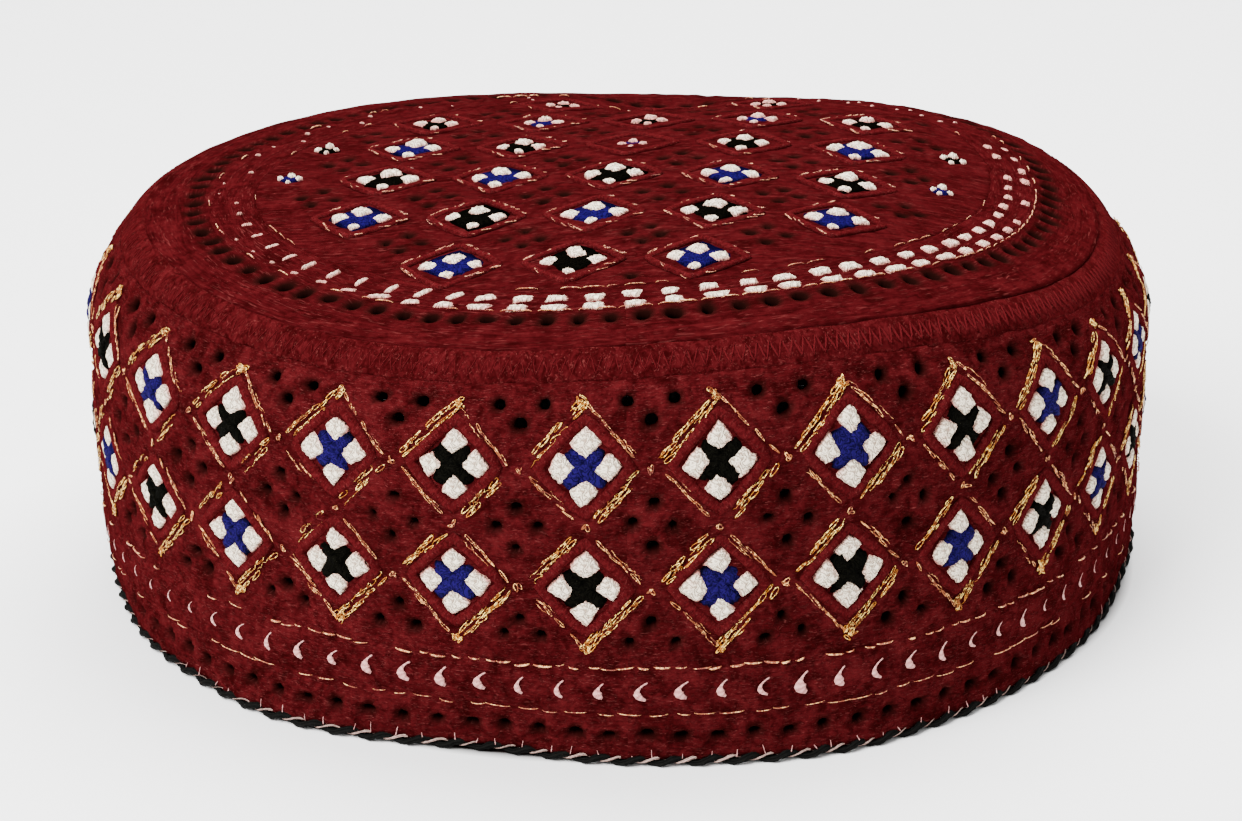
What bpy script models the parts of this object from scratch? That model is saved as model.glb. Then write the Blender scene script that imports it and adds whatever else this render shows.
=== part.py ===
"""A round embroidered cap (kufi): side band, domed crown, raised crown seam and edging at the rim.

The cap stands on its rim with its centre over the origin. +Z is up and the photographed front faces -Y.
Angles run round the cap from +X towards +Y. Lengths are metres.
"""

import math
from typing import NamedTuple

import bmesh
import bpy
import numpy as np


class Harmonic(NamedTuple):
    """One wave of a closed outline: how often it repeats, with its cosine and sine sizes."""

    order: int
    cosine: float
    sine: float


class Dent(NamedTuple):
    """A soft push of the cloth near the rim: where, how wide, how high up, and how far out."""

    angle_deg: float
    half_width_deg: float
    reach: float
    push: float


class Point(NamedTuple):
    """A corner of a ring's cross-section: distance from the axis and height."""

    radius: float
    height: float


# Overall form
BASE_RADIUS = 0.0953
DEPTH_RATIO = 0.96
SHOULDER_START = 0.0289
SEAM_HEIGHT = 0.0641
SHOULDER_INSET = 0.0092
SHOULDER_POWER = 5.5
CLOTH = 0.0024
GAP = 0.0003
SEAM_RADIUS = BASE_RADIUS - SHOULDER_INSET

# Middle of the worn outline, so that its box is centred on the origin
CENTRE_X = 0.00043
CENTRE_Y = 0.00082

# How the cap as worn in differs from a true round, in shares of its radius
PLAN_WAVES = (
    Harmonic(order=2, cosine=0.0, sine=0.009),
    Harmonic(order=3, cosine=-0.006, sine=0.009),
    Harmonic(order=4, cosine=-0.001, sine=0.012),
)

# How the top edge leans and differs from the rim's outline, in shares of its radius
LEAN_WAVES = (
    Harmonic(order=1, cosine=0.0151, sine=-0.0210),
    Harmonic(order=2, cosine=0.0054, sine=0.0053),
    Harmonic(order=3, cosine=-0.0069, sine=-0.0077),
)
LEAN_POWER = 4.0

# How the top edge rises and falls round the cap
EDGE_WAVES = (
    Harmonic(order=1, cosine=-0.0016, sine=0.0001),
    Harmonic(order=2, cosine=-0.0002, sine=-0.0011),
    Harmonic(order=3, cosine=-0.0014, sine=0.0011),
    Harmonic(order=4, cosine=-0.0002, sine=0.0008),
)

# Bulges and hollows of the cloth at the rim, from the left round the front to the right
RIM_DENTS = (
    Dent(angle_deg=-163.0, half_width_deg=12.0, reach=0.024, push=-0.0020),
    Dent(angle_deg=-126.0, half_width_deg=12.0, reach=0.025, push=0.0030),
    Dent(angle_deg=-103.0, half_width_deg=8.0, reach=0.022, push=-0.0022),
    Dent(angle_deg=-70.0, half_width_deg=9.0, reach=0.022, push=0.0012),
    Dent(angle_deg=-14.0, half_width_deg=11.0, reach=0.022, push=-0.0012),
)

# Side band
BAND_TOP = 0.0622
BAND_ROWS = (0.010, 0.020, 0.032, 0.044, 0.0515, 0.0556, 0.0584)

# Eyelets in the valleys between the upper diamonds, three to a valley
MOTIF_COUNT = 28
FIRST_VALLEY = 0.186
EYELET_RADIUS = 0.0010
EYELET_SIDES = 8
EYELET_SPREAD = 0.18
EYELET_CELL = 0.09
UPPER_EYELET_HEIGHT = 0.0598
LOWER_EYELET_HEIGHT = 0.0570

# Crown
CROWN_EDGE = 0.980
CROWN_RISE = 0.01025
CROWN_POWER = 0.4635
CROWN_RINGS = (0.20, 0.42, 0.62, 0.78, 0.89, 0.95)
CROWN_TILT_X = 0.0057
CROWN_TILT_Y = -0.0012
CROWN_SWELL_X = -0.0012
CROWN_SWELL_Y = -0.0045
CROWN_SLOPE_STEP = 0.002
CROWN_DIP_ANGLE = math.radians(83.0)
CROWN_DIP_HALF_WIDTH = math.radians(10.0)
CROWN_DIP_START = 0.55
CROWN_DIP = 0.0044

# Crown seam: a rounded ridge between the band's top edge and the crown's edge
SEAM_HALF_WIDTH = 0.0026
SEAM_SHOULDER = 0.0018
SEAM_OUT = 0.00115
SEAM_OUT_SIDE = 0.00075
SEAM_IN = 0.0020
SEAM_IN_SIDE = 0.0016
SEAM_IN_SHOULDER = 0.0014
SEAM_EDGE_IN = 0.0004

# Rim binding
RIM_HEIGHT = 0.0022
RIM_HALF_WIDTH = 0.0016
RIM_FOOT_HALF_WIDTH = 0.0008
RIM_SHOULDER_HALF_WIDTH = 0.0013
RIM_SHOULDER_HEIGHT = 0.0009

# Facets round the smaller rings
RING_SIDES = 70
ARC_SAMPLES = 1440
SHARP_ANGLE = math.radians(50.0)


class Finish(NamedTuple):
    """A cloth colour with how rough it is."""

    name: str
    colour: tuple[float, float, float]
    roughness: float


BAND_CLOTH = Finish("maroon_band_cloth", (0.165, 0.010, 0.014), 0.92)
CROWN_CLOTH = Finish("maroon_crown_cloth", (0.145, 0.009, 0.013), 0.92)
SEAM_THREAD = Finish("maroon_seam_thread", (0.190, 0.012, 0.018), 0.88)
RIM_CORD = Finish("black_and_white_cord", (0.120, 0.110, 0.100), 0.80)


# Outline of the cap


def wave_sum(waves: tuple[Harmonic, ...], angle: float) -> float:
    """Sum of the waves at an angle."""
    return sum(w.cosine * math.cos(w.order * angle) + w.sine * math.sin(w.order * angle) for w in waves)


def plan_share(angle: float, lean_share: float) -> float:
    """Radius of the worn outline as a share of the round one, with a share of the top edge's lean."""
    return 1.0 + wave_sum(PLAN_WAVES, angle) + lean_share * wave_sum(LEAN_WAVES, angle)


def edge_lift(angle: float) -> float:
    """How far the top edge stands above its mean height."""
    return wave_sum(EDGE_WAVES, angle)


def rim_push(angle: float, height: float) -> float:
    """Outward push of the dents, fading out with height."""
    total = 0.0
    for dent in RIM_DENTS:
        turn = math.remainder(angle - math.radians(dent.angle_deg), math.tau)
        across = math.exp(-((turn / math.radians(dent.half_width_deg)) ** 2))
        up = max(0.0, 1.0 - height / dent.reach) ** 2
        total += dent.push * across * up
    return total


def band_radius(height: float) -> float:
    """Outer radius of the side band: straight below, then rounding in towards the seam."""
    share = max(0.0, (height - SHOULDER_START) / (SEAM_HEIGHT - SHOULDER_START))
    return BASE_RADIUS - SHOULDER_INSET * share**SHOULDER_POWER


def band_slope(height: float) -> float:
    """Change of the band's radius with height."""
    share = max(0.0, (height - SHOULDER_START) / (SEAM_HEIGHT - SHOULDER_START))
    steepness = SHOULDER_INSET * SHOULDER_POWER / (SEAM_HEIGHT - SHOULDER_START)
    return -steepness * share ** (SHOULDER_POWER - 1.0)


def on_plan(
    radius: float, height: float, angle: float, lift_share: float, lean_share: float
) -> tuple[float, float, float]:
    """World point of a cross-section's corner at an angle round the cap.

    The top edge's rise and fall and its lean come in by their shares, 0 at the rim and 1 at the seam.
    """
    reach = radius * plan_share(angle, lean_share) + rim_push(angle, height)
    x = CENTRE_X + reach * math.cos(angle)
    y = CENTRE_Y + DEPTH_RATIO * reach * math.sin(angle)
    return (x, y, height + lift_share * edge_lift(angle))


def band_point(height: float, depth: float, angle: float) -> tuple[float, float, float]:
    """World point of the band, depth metres under its outer surface."""
    slope = band_slope(height)
    length = math.hypot(1.0, slope)
    radius = band_radius(height) - depth / length
    lift_share = (height / BAND_TOP) ** 2
    lean_share = (height / SEAM_HEIGHT) ** LEAN_POWER
    return on_plan(radius, height + depth * slope / length, angle, lift_share, lean_share)


def angles_by_arc(shares: list[float]) -> list[float]:
    """Angles at which shares of the outline's length are reached, counted from the front."""
    turns = np.linspace(-0.5 * math.pi, 1.5 * math.pi, ARC_SAMPLES + 1)
    points = np.array([on_plan(BASE_RADIUS, SHOULDER_START, float(turn), 0.0, 0.0) for turn in turns])
    steps = np.linalg.norm(np.diff(points, axis=0), axis=1)
    travelled = np.concatenate([[0.0], np.cumsum(steps)])
    wanted = np.mod(np.array(shares), 1.0) * travelled[-1]
    return [float(angle) for angle in np.interp(wanted, travelled, turns)]


def crown_dip(share: float, angle: float) -> float:
    """Shallow saddle of the crown's back edge."""
    turn = math.remainder(angle - CROWN_DIP_ANGLE, math.tau)
    along = max(0.0, (share - CROWN_DIP_START) / (CROWN_EDGE - CROWN_DIP_START))
    return -CROWN_DIP * math.exp(-((turn / CROWN_DIP_HALF_WIDTH) ** 2)) * math.sin(math.pi * min(along, 1.0))


def crown_height(share: float, angle: float) -> float:
    """Height of the crown's outer surface at a share of the seam's radius."""
    inside = 1.0 - share**2
    right = share * plan_share(angle, 0.0) * math.cos(angle)
    back = DEPTH_RATIO * share * plan_share(angle, 0.0) * math.sin(angle)
    swell = CROWN_SWELL_X * right**2 + CROWN_SWELL_Y * back**2
    tilt = inside * (CROWN_TILT_X * right + CROWN_TILT_Y * back + swell)
    edge = SEAM_HEIGHT + edge_lift(angle) * (share / CROWN_EDGE) ** 2
    return edge + CROWN_RISE * inside**CROWN_POWER + tilt + crown_dip(share, angle)


def crown_point(share: float, depth: float, angle: float) -> tuple[float, float, float]:
    """World point of the crown, depth metres under its outer surface."""
    step = CROWN_SLOPE_STEP
    rise = (crown_height(share + step, angle) - crown_height(share - step, angle)) if share > step else 0.0
    slope = rise / (2.0 * step * SEAM_RADIUS)
    length = math.hypot(1.0, slope)
    height = crown_height(share, angle) - depth / length
    return on_plan(share * SEAM_RADIUS + depth * slope / length, height, angle, 0.0, 1.0)


# Meshes


def make_material(finish: Finish) -> bpy.types.Material:
    """A Principled material of one cloth."""
    material = bpy.data.materials.new(finish.name)
    material.use_nodes = True
    shader = material.node_tree.nodes["Principled BSDF"]
    shader.inputs["Base Color"].default_value = (*finish.colour, 1.0)
    shader.inputs["Roughness"].default_value = finish.roughness
    shader.inputs["Metallic"].default_value = 0.0
    return material


def finish_object(name: str, mesh: bmesh.types.BMesh, finish: Finish) -> bpy.types.Object:
    """Turn a bmesh into a smooth-shaded object with its material."""
    bmesh.ops.recalc_face_normals(mesh, faces=mesh.faces)
    data = bpy.data.meshes.new(name)
    mesh.to_mesh(data)
    mesh.free()
    data.shade_smooth()
    data.set_sharp_from_angle(angle=SHARP_ANGLE)
    data.materials.append(make_material(finish))
    piece = bpy.data.objects.new(name, data)
    bpy.context.scene.collection.objects.link(piece)
    return piece


def even_angles(count: int) -> list[float]:
    """Angles spaced evenly round the cap, the first at the front."""
    return [math.tau * k / count - 0.5 * math.pi for k in range(count)]


def sweep_ring(name: str, section: list[Point], finish: Finish, edge_share: float) -> bpy.types.Object:
    """Sweep a closed cross-section round the cap: along the rim at share 0, along the top edge at share 1."""
    mesh = bmesh.new()
    loops = []
    for angle in even_angles(RING_SIDES):
        corners = [on_plan(p.radius, p.height, angle, edge_share, edge_share) for p in section]
        loops.append([mesh.verts.new(corner) for corner in corners])
    for here, there in zip(loops, loops[1:] + loops[:1]):
        for k in range(len(section)):
            after = (k + 1) % len(section)
            mesh.faces.new((here[k], there[k], there[after], here[after]))
    return finish_object(name, mesh, finish)


def eyelet_loop(mesh: bmesh.types.BMesh, centre: float, height: float, depth: float) -> list:
    """Corners of one eyelet on the band, centre being its place along the outline in motif steps."""
    circumference = math.tau * BASE_RADIUS
    half_share = EYELET_RADIUS / circumference
    rise = EYELET_RADIUS / math.hypot(1.0, band_slope(height))
    turns = [math.tau * (k + 0.5) / EYELET_SIDES for k in range(EYELET_SIDES)]
    shares = [centre / MOTIF_COUNT + half_share * math.cos(turn) for turn in turns]
    angles = angles_by_arc(shares)
    return [
        mesh.verts.new(band_point(height + rise * math.sin(turn), depth, angle))
        for turn, angle in zip(turns, angles)
    ]


def pierced_cell(mesh: bmesh.types.BMesh, corners: list, loop: list) -> None:
    """Fill between a four-cornered cell and the eight-cornered eyelet inside it.

    The corners go right top, left top, left bottom, right bottom, as the eyelet's corners do.
    """
    for side in range(4):
        first = 2 * side
        following = (side + 1) % 4
        mesh.faces.new((corners[side], loop[first], loop[first + 1]))
        after = (first + 2) % EYELET_SIDES
        mesh.faces.new((corners[side], loop[first + 1], loop[after], corners[following]))


def pierce(mesh: bmesh.types.BMesh, outer: list, inner: list, centre: float, height: float) -> None:
    """Cut one eyelet through the band between an outer and an inner cell."""
    outer_loop = eyelet_loop(mesh, centre, height, 0.0)
    inner_loop = eyelet_loop(mesh, centre, height, CLOTH)
    pierced_cell(mesh, outer, outer_loop)
    pierced_cell(mesh, inner, inner_loop)
    for k in range(EYELET_SIDES):
        after = (k + 1) % EYELET_SIDES
        mesh.faces.new((outer_loop[k], outer_loop[after], inner_loop[after], inner_loop[k]))


def build_side_band() -> bpy.types.Object:
    """The band as one wall round the cap, pierced by three eyelets in each upper valley."""
    mesh = bmesh.new()
    offsets = (-0.5, -EYELET_SPREAD - EYELET_CELL, -EYELET_CELL, EYELET_CELL, EYELET_SPREAD + EYELET_CELL)
    places = [FIRST_VALLEY + valley + offset for valley in range(MOTIF_COUNT) for offset in offsets]
    angles = angles_by_arc([place / MOTIF_COUNT for place in places])
    heights = [RIM_HEIGHT + GAP, *BAND_ROWS, BAND_TOP]
    outer = [[mesh.verts.new(band_point(h, 0.0, a)) for h in heights] for a in angles]
    inner = [[mesh.verts.new(band_point(h, CLOTH, a)) for h in heights] for a in angles]
    upper_row = len(heights) - 2
    lower_row = len(heights) - 3
    eyelets = {
        1: (upper_row, -EYELET_SPREAD, UPPER_EYELET_HEIGHT),
        2: (lower_row, 0.0, LOWER_EYELET_HEIGHT),
        3: (upper_row, EYELET_SPREAD, UPPER_EYELET_HEIGHT),
    }
    count = len(places)
    for column in range(count):
        after = (column + 1) % count
        valley, step = divmod(column, len(offsets))
        eyelet = eyelets.get(step)
        for row in range(len(heights) - 1):
            cells = [
                [side[after][row + 1], side[column][row + 1], side[column][row], side[after][row]]
                for side in (outer, inner)
            ]
            if eyelet and eyelet[0] == row:
                pierce(mesh, *cells, FIRST_VALLEY + valley + eyelet[1], eyelet[2])
            else:
                mesh.faces.new(cells[0])
                mesh.faces.new(cells[1])
        for row in (0, len(heights) - 1):
            mesh.faces.new((outer[column][row], outer[after][row], inner[after][row], inner[column][row]))
    return finish_object("side_band", mesh, BAND_CLOTH)


def build_crown_top() -> bpy.types.Object:
    """The crown as a domed disc of cloth."""
    mesh = bmesh.new()
    angles = even_angles(RING_SIDES)
    shares = (*CROWN_RINGS, CROWN_EDGE)
    skins = []
    for depth in (0.0, CLOTH):
        centre = mesh.verts.new(crown_point(0.0, depth, 0.0))
        rings = [[mesh.verts.new(crown_point(share, depth, a)) for a in angles] for share in shares]
        for k in range(RING_SIDES):
            after = (k + 1) % RING_SIDES
            mesh.faces.new((centre, rings[0][k], rings[0][after]))
            for inside, outside in zip(rings, rings[1:]):
                mesh.faces.new((inside[k], outside[k], outside[after], inside[after]))
        skins.append(rings[-1])
    top, bottom = skins
    for k in range(RING_SIDES):
        after = (k + 1) % RING_SIDES
        mesh.faces.new((top[k], bottom[k], bottom[after], top[after]))
    return finish_object("crown_top", mesh, CROWN_CLOTH)


def build_crown_seam() -> bpy.types.Object:
    """The rounded ridge that fills the chord between the band's top edge and the crown's edge."""
    band_end = Point(band_radius(BAND_TOP), BAND_TOP)
    crown_start = Point(CROWN_EDGE * SEAM_RADIUS, SEAM_HEIGHT + CROWN_RISE * (1.0 - CROWN_EDGE**2) ** CROWN_POWER)
    chord = Point(crown_start.radius - band_end.radius, crown_start.height - band_end.height)
    length = math.hypot(chord.radius, chord.height)
    along = Point(chord.radius / length, chord.height / length)
    outward = Point(along.height, -along.radius)
    middle = Point(0.5 * (band_end.radius + crown_start.radius), 0.5 * (band_end.height + crown_start.height))
    profile = (
        (-SEAM_HALF_WIDTH, -SEAM_EDGE_IN),
        (-SEAM_SHOULDER, SEAM_OUT_SIDE),
        (0.0, SEAM_OUT),
        (SEAM_SHOULDER, SEAM_OUT_SIDE),
        (SEAM_HALF_WIDTH, -SEAM_EDGE_IN),
        (SEAM_IN_SHOULDER, -SEAM_IN_SIDE),
        (0.0, -SEAM_IN),
        (-SEAM_IN_SHOULDER, -SEAM_IN_SIDE),
    )
    section = [
        Point(
            middle.radius + run * along.radius + out * outward.radius,
            middle.height + run * along.height + out * outward.height,
        )
        for run, out in profile
    ]
    return sweep_ring("crown_seam", section, SEAM_THREAD, 1.0)


def build_rim_binding() -> bpy.types.Object:
    """The edging under the band, flat where the cap stands on it."""
    middle = BASE_RADIUS - 0.5 * CLOTH
    profile = (
        (-RIM_FOOT_HALF_WIDTH, 0.0),
        (RIM_FOOT_HALF_WIDTH, 0.0),
        (RIM_HALF_WIDTH, RIM_SHOULDER_HEIGHT),
        (RIM_SHOULDER_HALF_WIDTH, RIM_HEIGHT),
        (-RIM_SHOULDER_HALF_WIDTH, RIM_HEIGHT),
        (-RIM_HALF_WIDTH, RIM_SHOULDER_HEIGHT),
    )
    section = [Point(middle + across, up) for across, up in profile]
    return sweep_ring("rim_binding", section, RIM_CORD, 0.0)


def main() -> None:
    """Clear the scene and build the cap under one empty."""
    for item in list(bpy.data.objects):
        bpy.data.objects.remove(item, do_unlink=True)
    cap = bpy.data.objects.new("kufi", None)
    bpy.context.scene.collection.objects.link(cap)
    for build in (build_side_band, build_crown_top, build_crown_seam, build_rim_binding):
        build().parent = cap


main()
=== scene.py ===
"""Looks of the embroidered kufi: pierced cloth, satin squares, gold chain stitch, seam and rim cord.

The CAD frame is loaded first and every piece rides on its one body. Lengths are metres. The cap stands on
its rim with its photographed front towards -Y. A place on the cloth is given by two distances along it,
called along and up on the band, and x and y on the crown.
"""

import logging
import math
from dataclasses import dataclass, replace
from enum import Enum

import bpy
import numpy as np
from mathutils import Matrix, Vector


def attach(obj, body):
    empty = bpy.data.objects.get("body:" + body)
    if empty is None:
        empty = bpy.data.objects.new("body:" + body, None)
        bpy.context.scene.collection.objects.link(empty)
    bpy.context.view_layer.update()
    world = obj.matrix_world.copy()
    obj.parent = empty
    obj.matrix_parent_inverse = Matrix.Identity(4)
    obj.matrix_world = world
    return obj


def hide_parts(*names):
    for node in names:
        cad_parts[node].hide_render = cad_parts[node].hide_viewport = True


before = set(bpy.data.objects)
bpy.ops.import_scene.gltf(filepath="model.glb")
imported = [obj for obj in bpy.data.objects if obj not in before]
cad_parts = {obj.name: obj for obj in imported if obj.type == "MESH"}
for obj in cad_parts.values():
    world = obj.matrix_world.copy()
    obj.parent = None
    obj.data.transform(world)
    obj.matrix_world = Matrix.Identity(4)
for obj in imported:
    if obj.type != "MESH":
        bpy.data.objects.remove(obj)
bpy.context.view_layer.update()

Array = np.ndarray
Colour = tuple[float, float, float]
MM = 0.001
BODY = "root"
log = logging.getLogger("kufi")


# Small helpers


def bell(distance: Array, width: float) -> Array:
    """A bell curve: 1 in the middle, falling as the exponential of minus the squared distance in widths."""
    return np.exp(-((distance / width) ** 2))


def pair(first: Array, second: Array) -> Array:
    """Two coordinates put together along a last axis."""
    return np.stack([first, second], axis=-1)


def axes(angle: Array) -> tuple[Array, Array]:
    """Unit vectors at an angle and a quarter turn further on."""
    return pair(np.cos(angle), np.sin(angle)), pair(-np.sin(angle), np.cos(angle))


def shake(rng: np.random.Generator, reach: float, shape: int | tuple[int, ...]) -> Array:
    """Random shifts of at most a reach to either side."""
    return rng.uniform(-reach, reach, shape)


def cell_middles(values: Array) -> Array:
    """Mean of the four corners of each cell of a grid."""
    return 0.25 * (values[:-1, :-1] + values[1:, :-1] + values[1:, 1:] + values[:-1, 1:])


def wrapped(angle: Array) -> Array:
    """Angle brought into the range from minus half a turn to half a turn."""
    return np.remainder(angle + math.pi, math.tau) - math.pi


def unit(vectors: Array) -> Array:
    """Vectors divided by their lengths."""
    return vectors / np.maximum(np.linalg.norm(vectors, axis=-1, keepdims=True), 1e-12)


# Form of the cap, as in the solids


@dataclass(frozen=True)
class Wave:
    """One wave of a closed outline: how often it repeats, with its cosine and sine sizes."""

    order: int
    cosine: float
    sine: float


@dataclass(frozen=True)
class Dent:
    """A soft push of the cloth near the rim."""

    angle_deg: float
    half_width_deg: float
    reach: float
    push: float


@dataclass(frozen=True)
class CapForm:
    """The worn outline, the band's profile and the crown's dome."""

    base_radius: float = 0.0953
    depth_ratio: float = 0.96
    shoulder_start: float = 0.0289
    seam_height: float = 0.0641
    shoulder_inset: float = 0.0092
    shoulder_power: float = 5.5
    cloth: float = 0.0024
    centre_x: float = 0.00043
    centre_y: float = 0.00082
    band_top: float = 0.0622
    crown_edge: float = 0.980
    crown_rise: float = 0.01025
    crown_power: float = 0.4635
    crown_tilt_x: float = 0.0057
    crown_tilt_y: float = -0.0012
    crown_swell_x: float = -0.0012
    crown_swell_y: float = -0.0045
    dip_angle: float = math.radians(83.0)
    dip_half_width: float = math.radians(10.0)
    dip_start: float = 0.55
    dip: float = 0.0044
    lean_power: float = 4.0
    plan_waves: tuple[Wave, ...] = (Wave(2, 0.0, 0.009), Wave(3, -0.006, 0.009), Wave(4, -0.001, 0.012))
    lean_waves: tuple[Wave, ...] = (
        Wave(1, 0.0151, -0.0210),
        Wave(2, 0.0054, 0.0053),
        Wave(3, -0.0069, -0.0077),
    )
    edge_waves: tuple[Wave, ...] = (
        Wave(1, -0.0016, 0.0001),
        Wave(2, -0.0002, -0.0011),
        Wave(3, -0.0014, 0.0011),
        Wave(4, -0.0002, 0.0008),
    )
    rim_dents: tuple[Dent, ...] = (
        Dent(-163.0, 12.0, 0.024, -0.0020),
        Dent(-126.0, 12.0, 0.025, 0.0030),
        Dent(-103.0, 8.0, 0.022, -0.0022),
        Dent(-70.0, 9.0, 0.022, 0.0012),
        Dent(-14.0, 11.0, 0.022, -0.0012),
    )

    @property
    def seam_radius(self) -> float:
        """Radius of the crown seam on the round plan."""
        return self.base_radius - self.shoulder_inset

    @staticmethod
    def wave_sum(waves: tuple[Wave, ...], angle: Array) -> Array:
        """Sum of each wave's cosine size times cos(order angle) and sine size times sin(order angle)."""
        return sum(w.cosine * np.cos(w.order * angle) + w.sine * np.sin(w.order * angle) for w in waves)

    def plan_share(self, angle: Array, lean_share: Array | float) -> Array:
        """Radius of the worn outline as a share of the round one, with a share of the top edge's lean."""
        lean = lean_share * self.wave_sum(self.lean_waves, angle)
        return 1.0 + self.wave_sum(self.plan_waves, angle) + lean

    def edge_lift(self, angle: Array) -> Array:
        """How far the top edge stands above its mean height."""
        return self.wave_sum(self.edge_waves, angle)

    def rim_push(self, angle: Array, height: Array) -> Array:
        """Outward push of the dents: a bell across, times the square of what is left of its reach.

        Args:
            angle: Angle round the cap.
            height: Height on the round plan.

        Returns:
            The push in metres.
        """
        total = np.zeros(np.broadcast(angle, height).shape)
        for dent in self.rim_dents:
            apart = wrapped(angle - math.radians(dent.angle_deg))
            across = bell(apart, math.radians(dent.half_width_deg))
            total = total + dent.push * across * np.clip(1.0 - height / dent.reach, 0.0, 1.0) ** 2
        return total

    def on_plan(
        self, radius: Array, height: Array, angle: Array, lift_share: Array, lean_share: Array
    ) -> Array:
        """World points at a radius and height of the round plan, brought onto the worn outline.

        Args:
            radius: Distance from the axis on the round plan.
            height: Height before the top edge's rise and fall.
            angle: Angle round the cap from +X towards +Y.
            lift_share: Share of the top edge's rise and fall that applies.
            lean_share: Share of the top edge's lean that applies.

        Returns:
            Points with a last axis of three.
        """
        reach = radius * self.plan_share(angle, lean_share) + self.rim_push(angle, height)
        x = self.centre_x + reach * np.cos(angle)
        y = self.centre_y + self.depth_ratio * reach * np.sin(angle)
        z = height + lift_share * self.edge_lift(angle)
        return np.stack(np.broadcast_arrays(x, y, z), axis=-1)

    def band_radius(self, height: Array) -> Array:
        """Outer radius of the band: straight below, then rounding in by a power of the height."""
        share = np.clip((height - self.shoulder_start) / (self.seam_height - self.shoulder_start), 0.0, 1.2)
        return self.base_radius - self.shoulder_inset * share**self.shoulder_power

    def crown_height(self, share: Array, angle: Array) -> Array:
        """Height of the crown: the edge's rise and fall, a dome, a tilt and the saddle at the back.

        Args:
            share: Radius as a share of the seam's.
            angle: Angle round the cap.

        Returns:
            World heights.
        """
        inside = np.clip(1.0 - share**2, 0.0, 1.0)
        right = share * self.plan_share(angle, 0.0) * np.cos(angle)
        back = self.depth_ratio * share * self.plan_share(angle, 0.0) * np.sin(angle)
        swell = self.crown_swell_x * right**2 + self.crown_swell_y * back**2
        tilt = inside * (self.crown_tilt_x * right + self.crown_tilt_y * back + swell)
        along = np.clip((share - self.dip_start) / (self.crown_edge - self.dip_start), 0.0, 1.0)
        across = bell(wrapped(angle - self.dip_angle), self.dip_half_width)
        saddle = -self.dip * across * np.sin(math.pi * along)
        edge = self.seam_height + self.edge_lift(angle) * (share / self.crown_edge) ** 2
        return edge + self.crown_rise * inside**self.crown_power + tilt + saddle


def lumps(first: Array, second: Array, size: float, seed: int, around: float | None = None) -> Array:
    """Smooth random swellings from -1 to 1: random values on a square lattice, blended by smooth steps.

    Args:
        first: First coordinate.
        second: Second coordinate.
        size: Distance between the lattice's values.
        seed: Seed of the values.
        around: Length after which the first coordinate repeats, or None.

    Returns:
        One value for each place.
    """
    most, below = 997, 400.0
    period = most if around is None else max(1, round(around / size))
    scaled = first / size if around is None else first / around * period
    across = second / size + below
    values = np.random.default_rng(seed).uniform(-1.0, 1.0, (period, most))
    i, j = np.floor(scaled).astype(int), np.floor(across).astype(int)
    u, v = scaled - i, across - j
    u, v = u * u * (3.0 - 2.0 * u), v * v * (3.0 - 2.0 * v)
    low, high = j % most, (j + 1) % most
    near, far = (
        values[row, low] * (1.0 - v) + values[row, high] * v for row in (i % period, (i + 1) % period)
    )
    return near * (1.0 - u) + far * u


class Skin:
    """A surface of the cap with two coordinates in metres along the cloth."""

    step: float = 0.2 * MM

    def point(self, first: Array, second: Array) -> Array:
        """World points of the surface."""
        raise NotImplementedError

    def frame(self, first: Array, second: Array) -> tuple[Array, Array, Array, Array]:
        """Points with unit vectors along both coordinates and outward, by central differences.

        Args:
            first: First coordinate.
            second: Second coordinate.

        Returns:
            Points, unit vectors along the first and the second coordinate, and outward normals.
        """
        along = unit(self.point(first + self.step, second) - self.point(first - self.step, second))
        up = unit(self.point(first, second + self.step) - self.point(first, second - self.step))
        out = unit(np.cross(along, up))
        return self.point(first, second), along, unit(np.cross(out, along)), out

    def place(self, first: Array, second: Array, out: Array | float = 0.0) -> Array:
        """World points standing a distance out from the surface."""
        points, _, _, normal = self.frame(first, second)
        return points + normal * np.asarray(out)[..., None]


class BandSkin(Skin):
    """Outside of the band: distance along the outline from the front, and length up the profile."""

    samples: int = 2881

    def __init__(self, form: CapForm) -> None:
        """Tabulate the outline's length by angle and the profile's length by height."""
        self.form = form
        self.angles = np.linspace(-0.5 * math.pi, 1.5 * math.pi, self.samples)
        ring = form.on_plan(form.base_radius, form.shoulder_start, self.angles, 0.0, 0.0)
        self.travelled = np.concatenate([[0.0], np.cumsum(np.linalg.norm(np.diff(ring, axis=0), axis=1))])
        self.length = float(self.travelled[-1])
        self.heights = np.linspace(-0.004, 0.066, 1401)
        radii = form.band_radius(self.heights)
        climbed = np.concatenate([[0.0], np.cumsum(np.hypot(np.diff(self.heights), np.diff(radii)))])
        self.climbed = climbed - np.interp(0.0, self.heights, climbed)

    def up_at(self, height: Array | float) -> Array:
        """Length up the profile at a height of the round plan."""
        return np.interp(height, self.heights, self.climbed)

    def angle_at(self, along: Array) -> Array:
        """Angle round the cap at a distance along the outline."""
        return np.interp(np.mod(along, self.length), self.travelled, self.angles)

    def point(self, first: Array, second: Array) -> Array:
        """World points of the band's outside."""
        angle = self.angle_at(first)
        height = np.interp(second, self.climbed, self.heights)
        lift_share = (height / self.form.band_top) ** 2
        lean_share = (height / self.form.seam_height) ** self.form.lean_power
        return self.form.on_plan(self.form.band_radius(height), height, angle, lift_share, lean_share)


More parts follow.
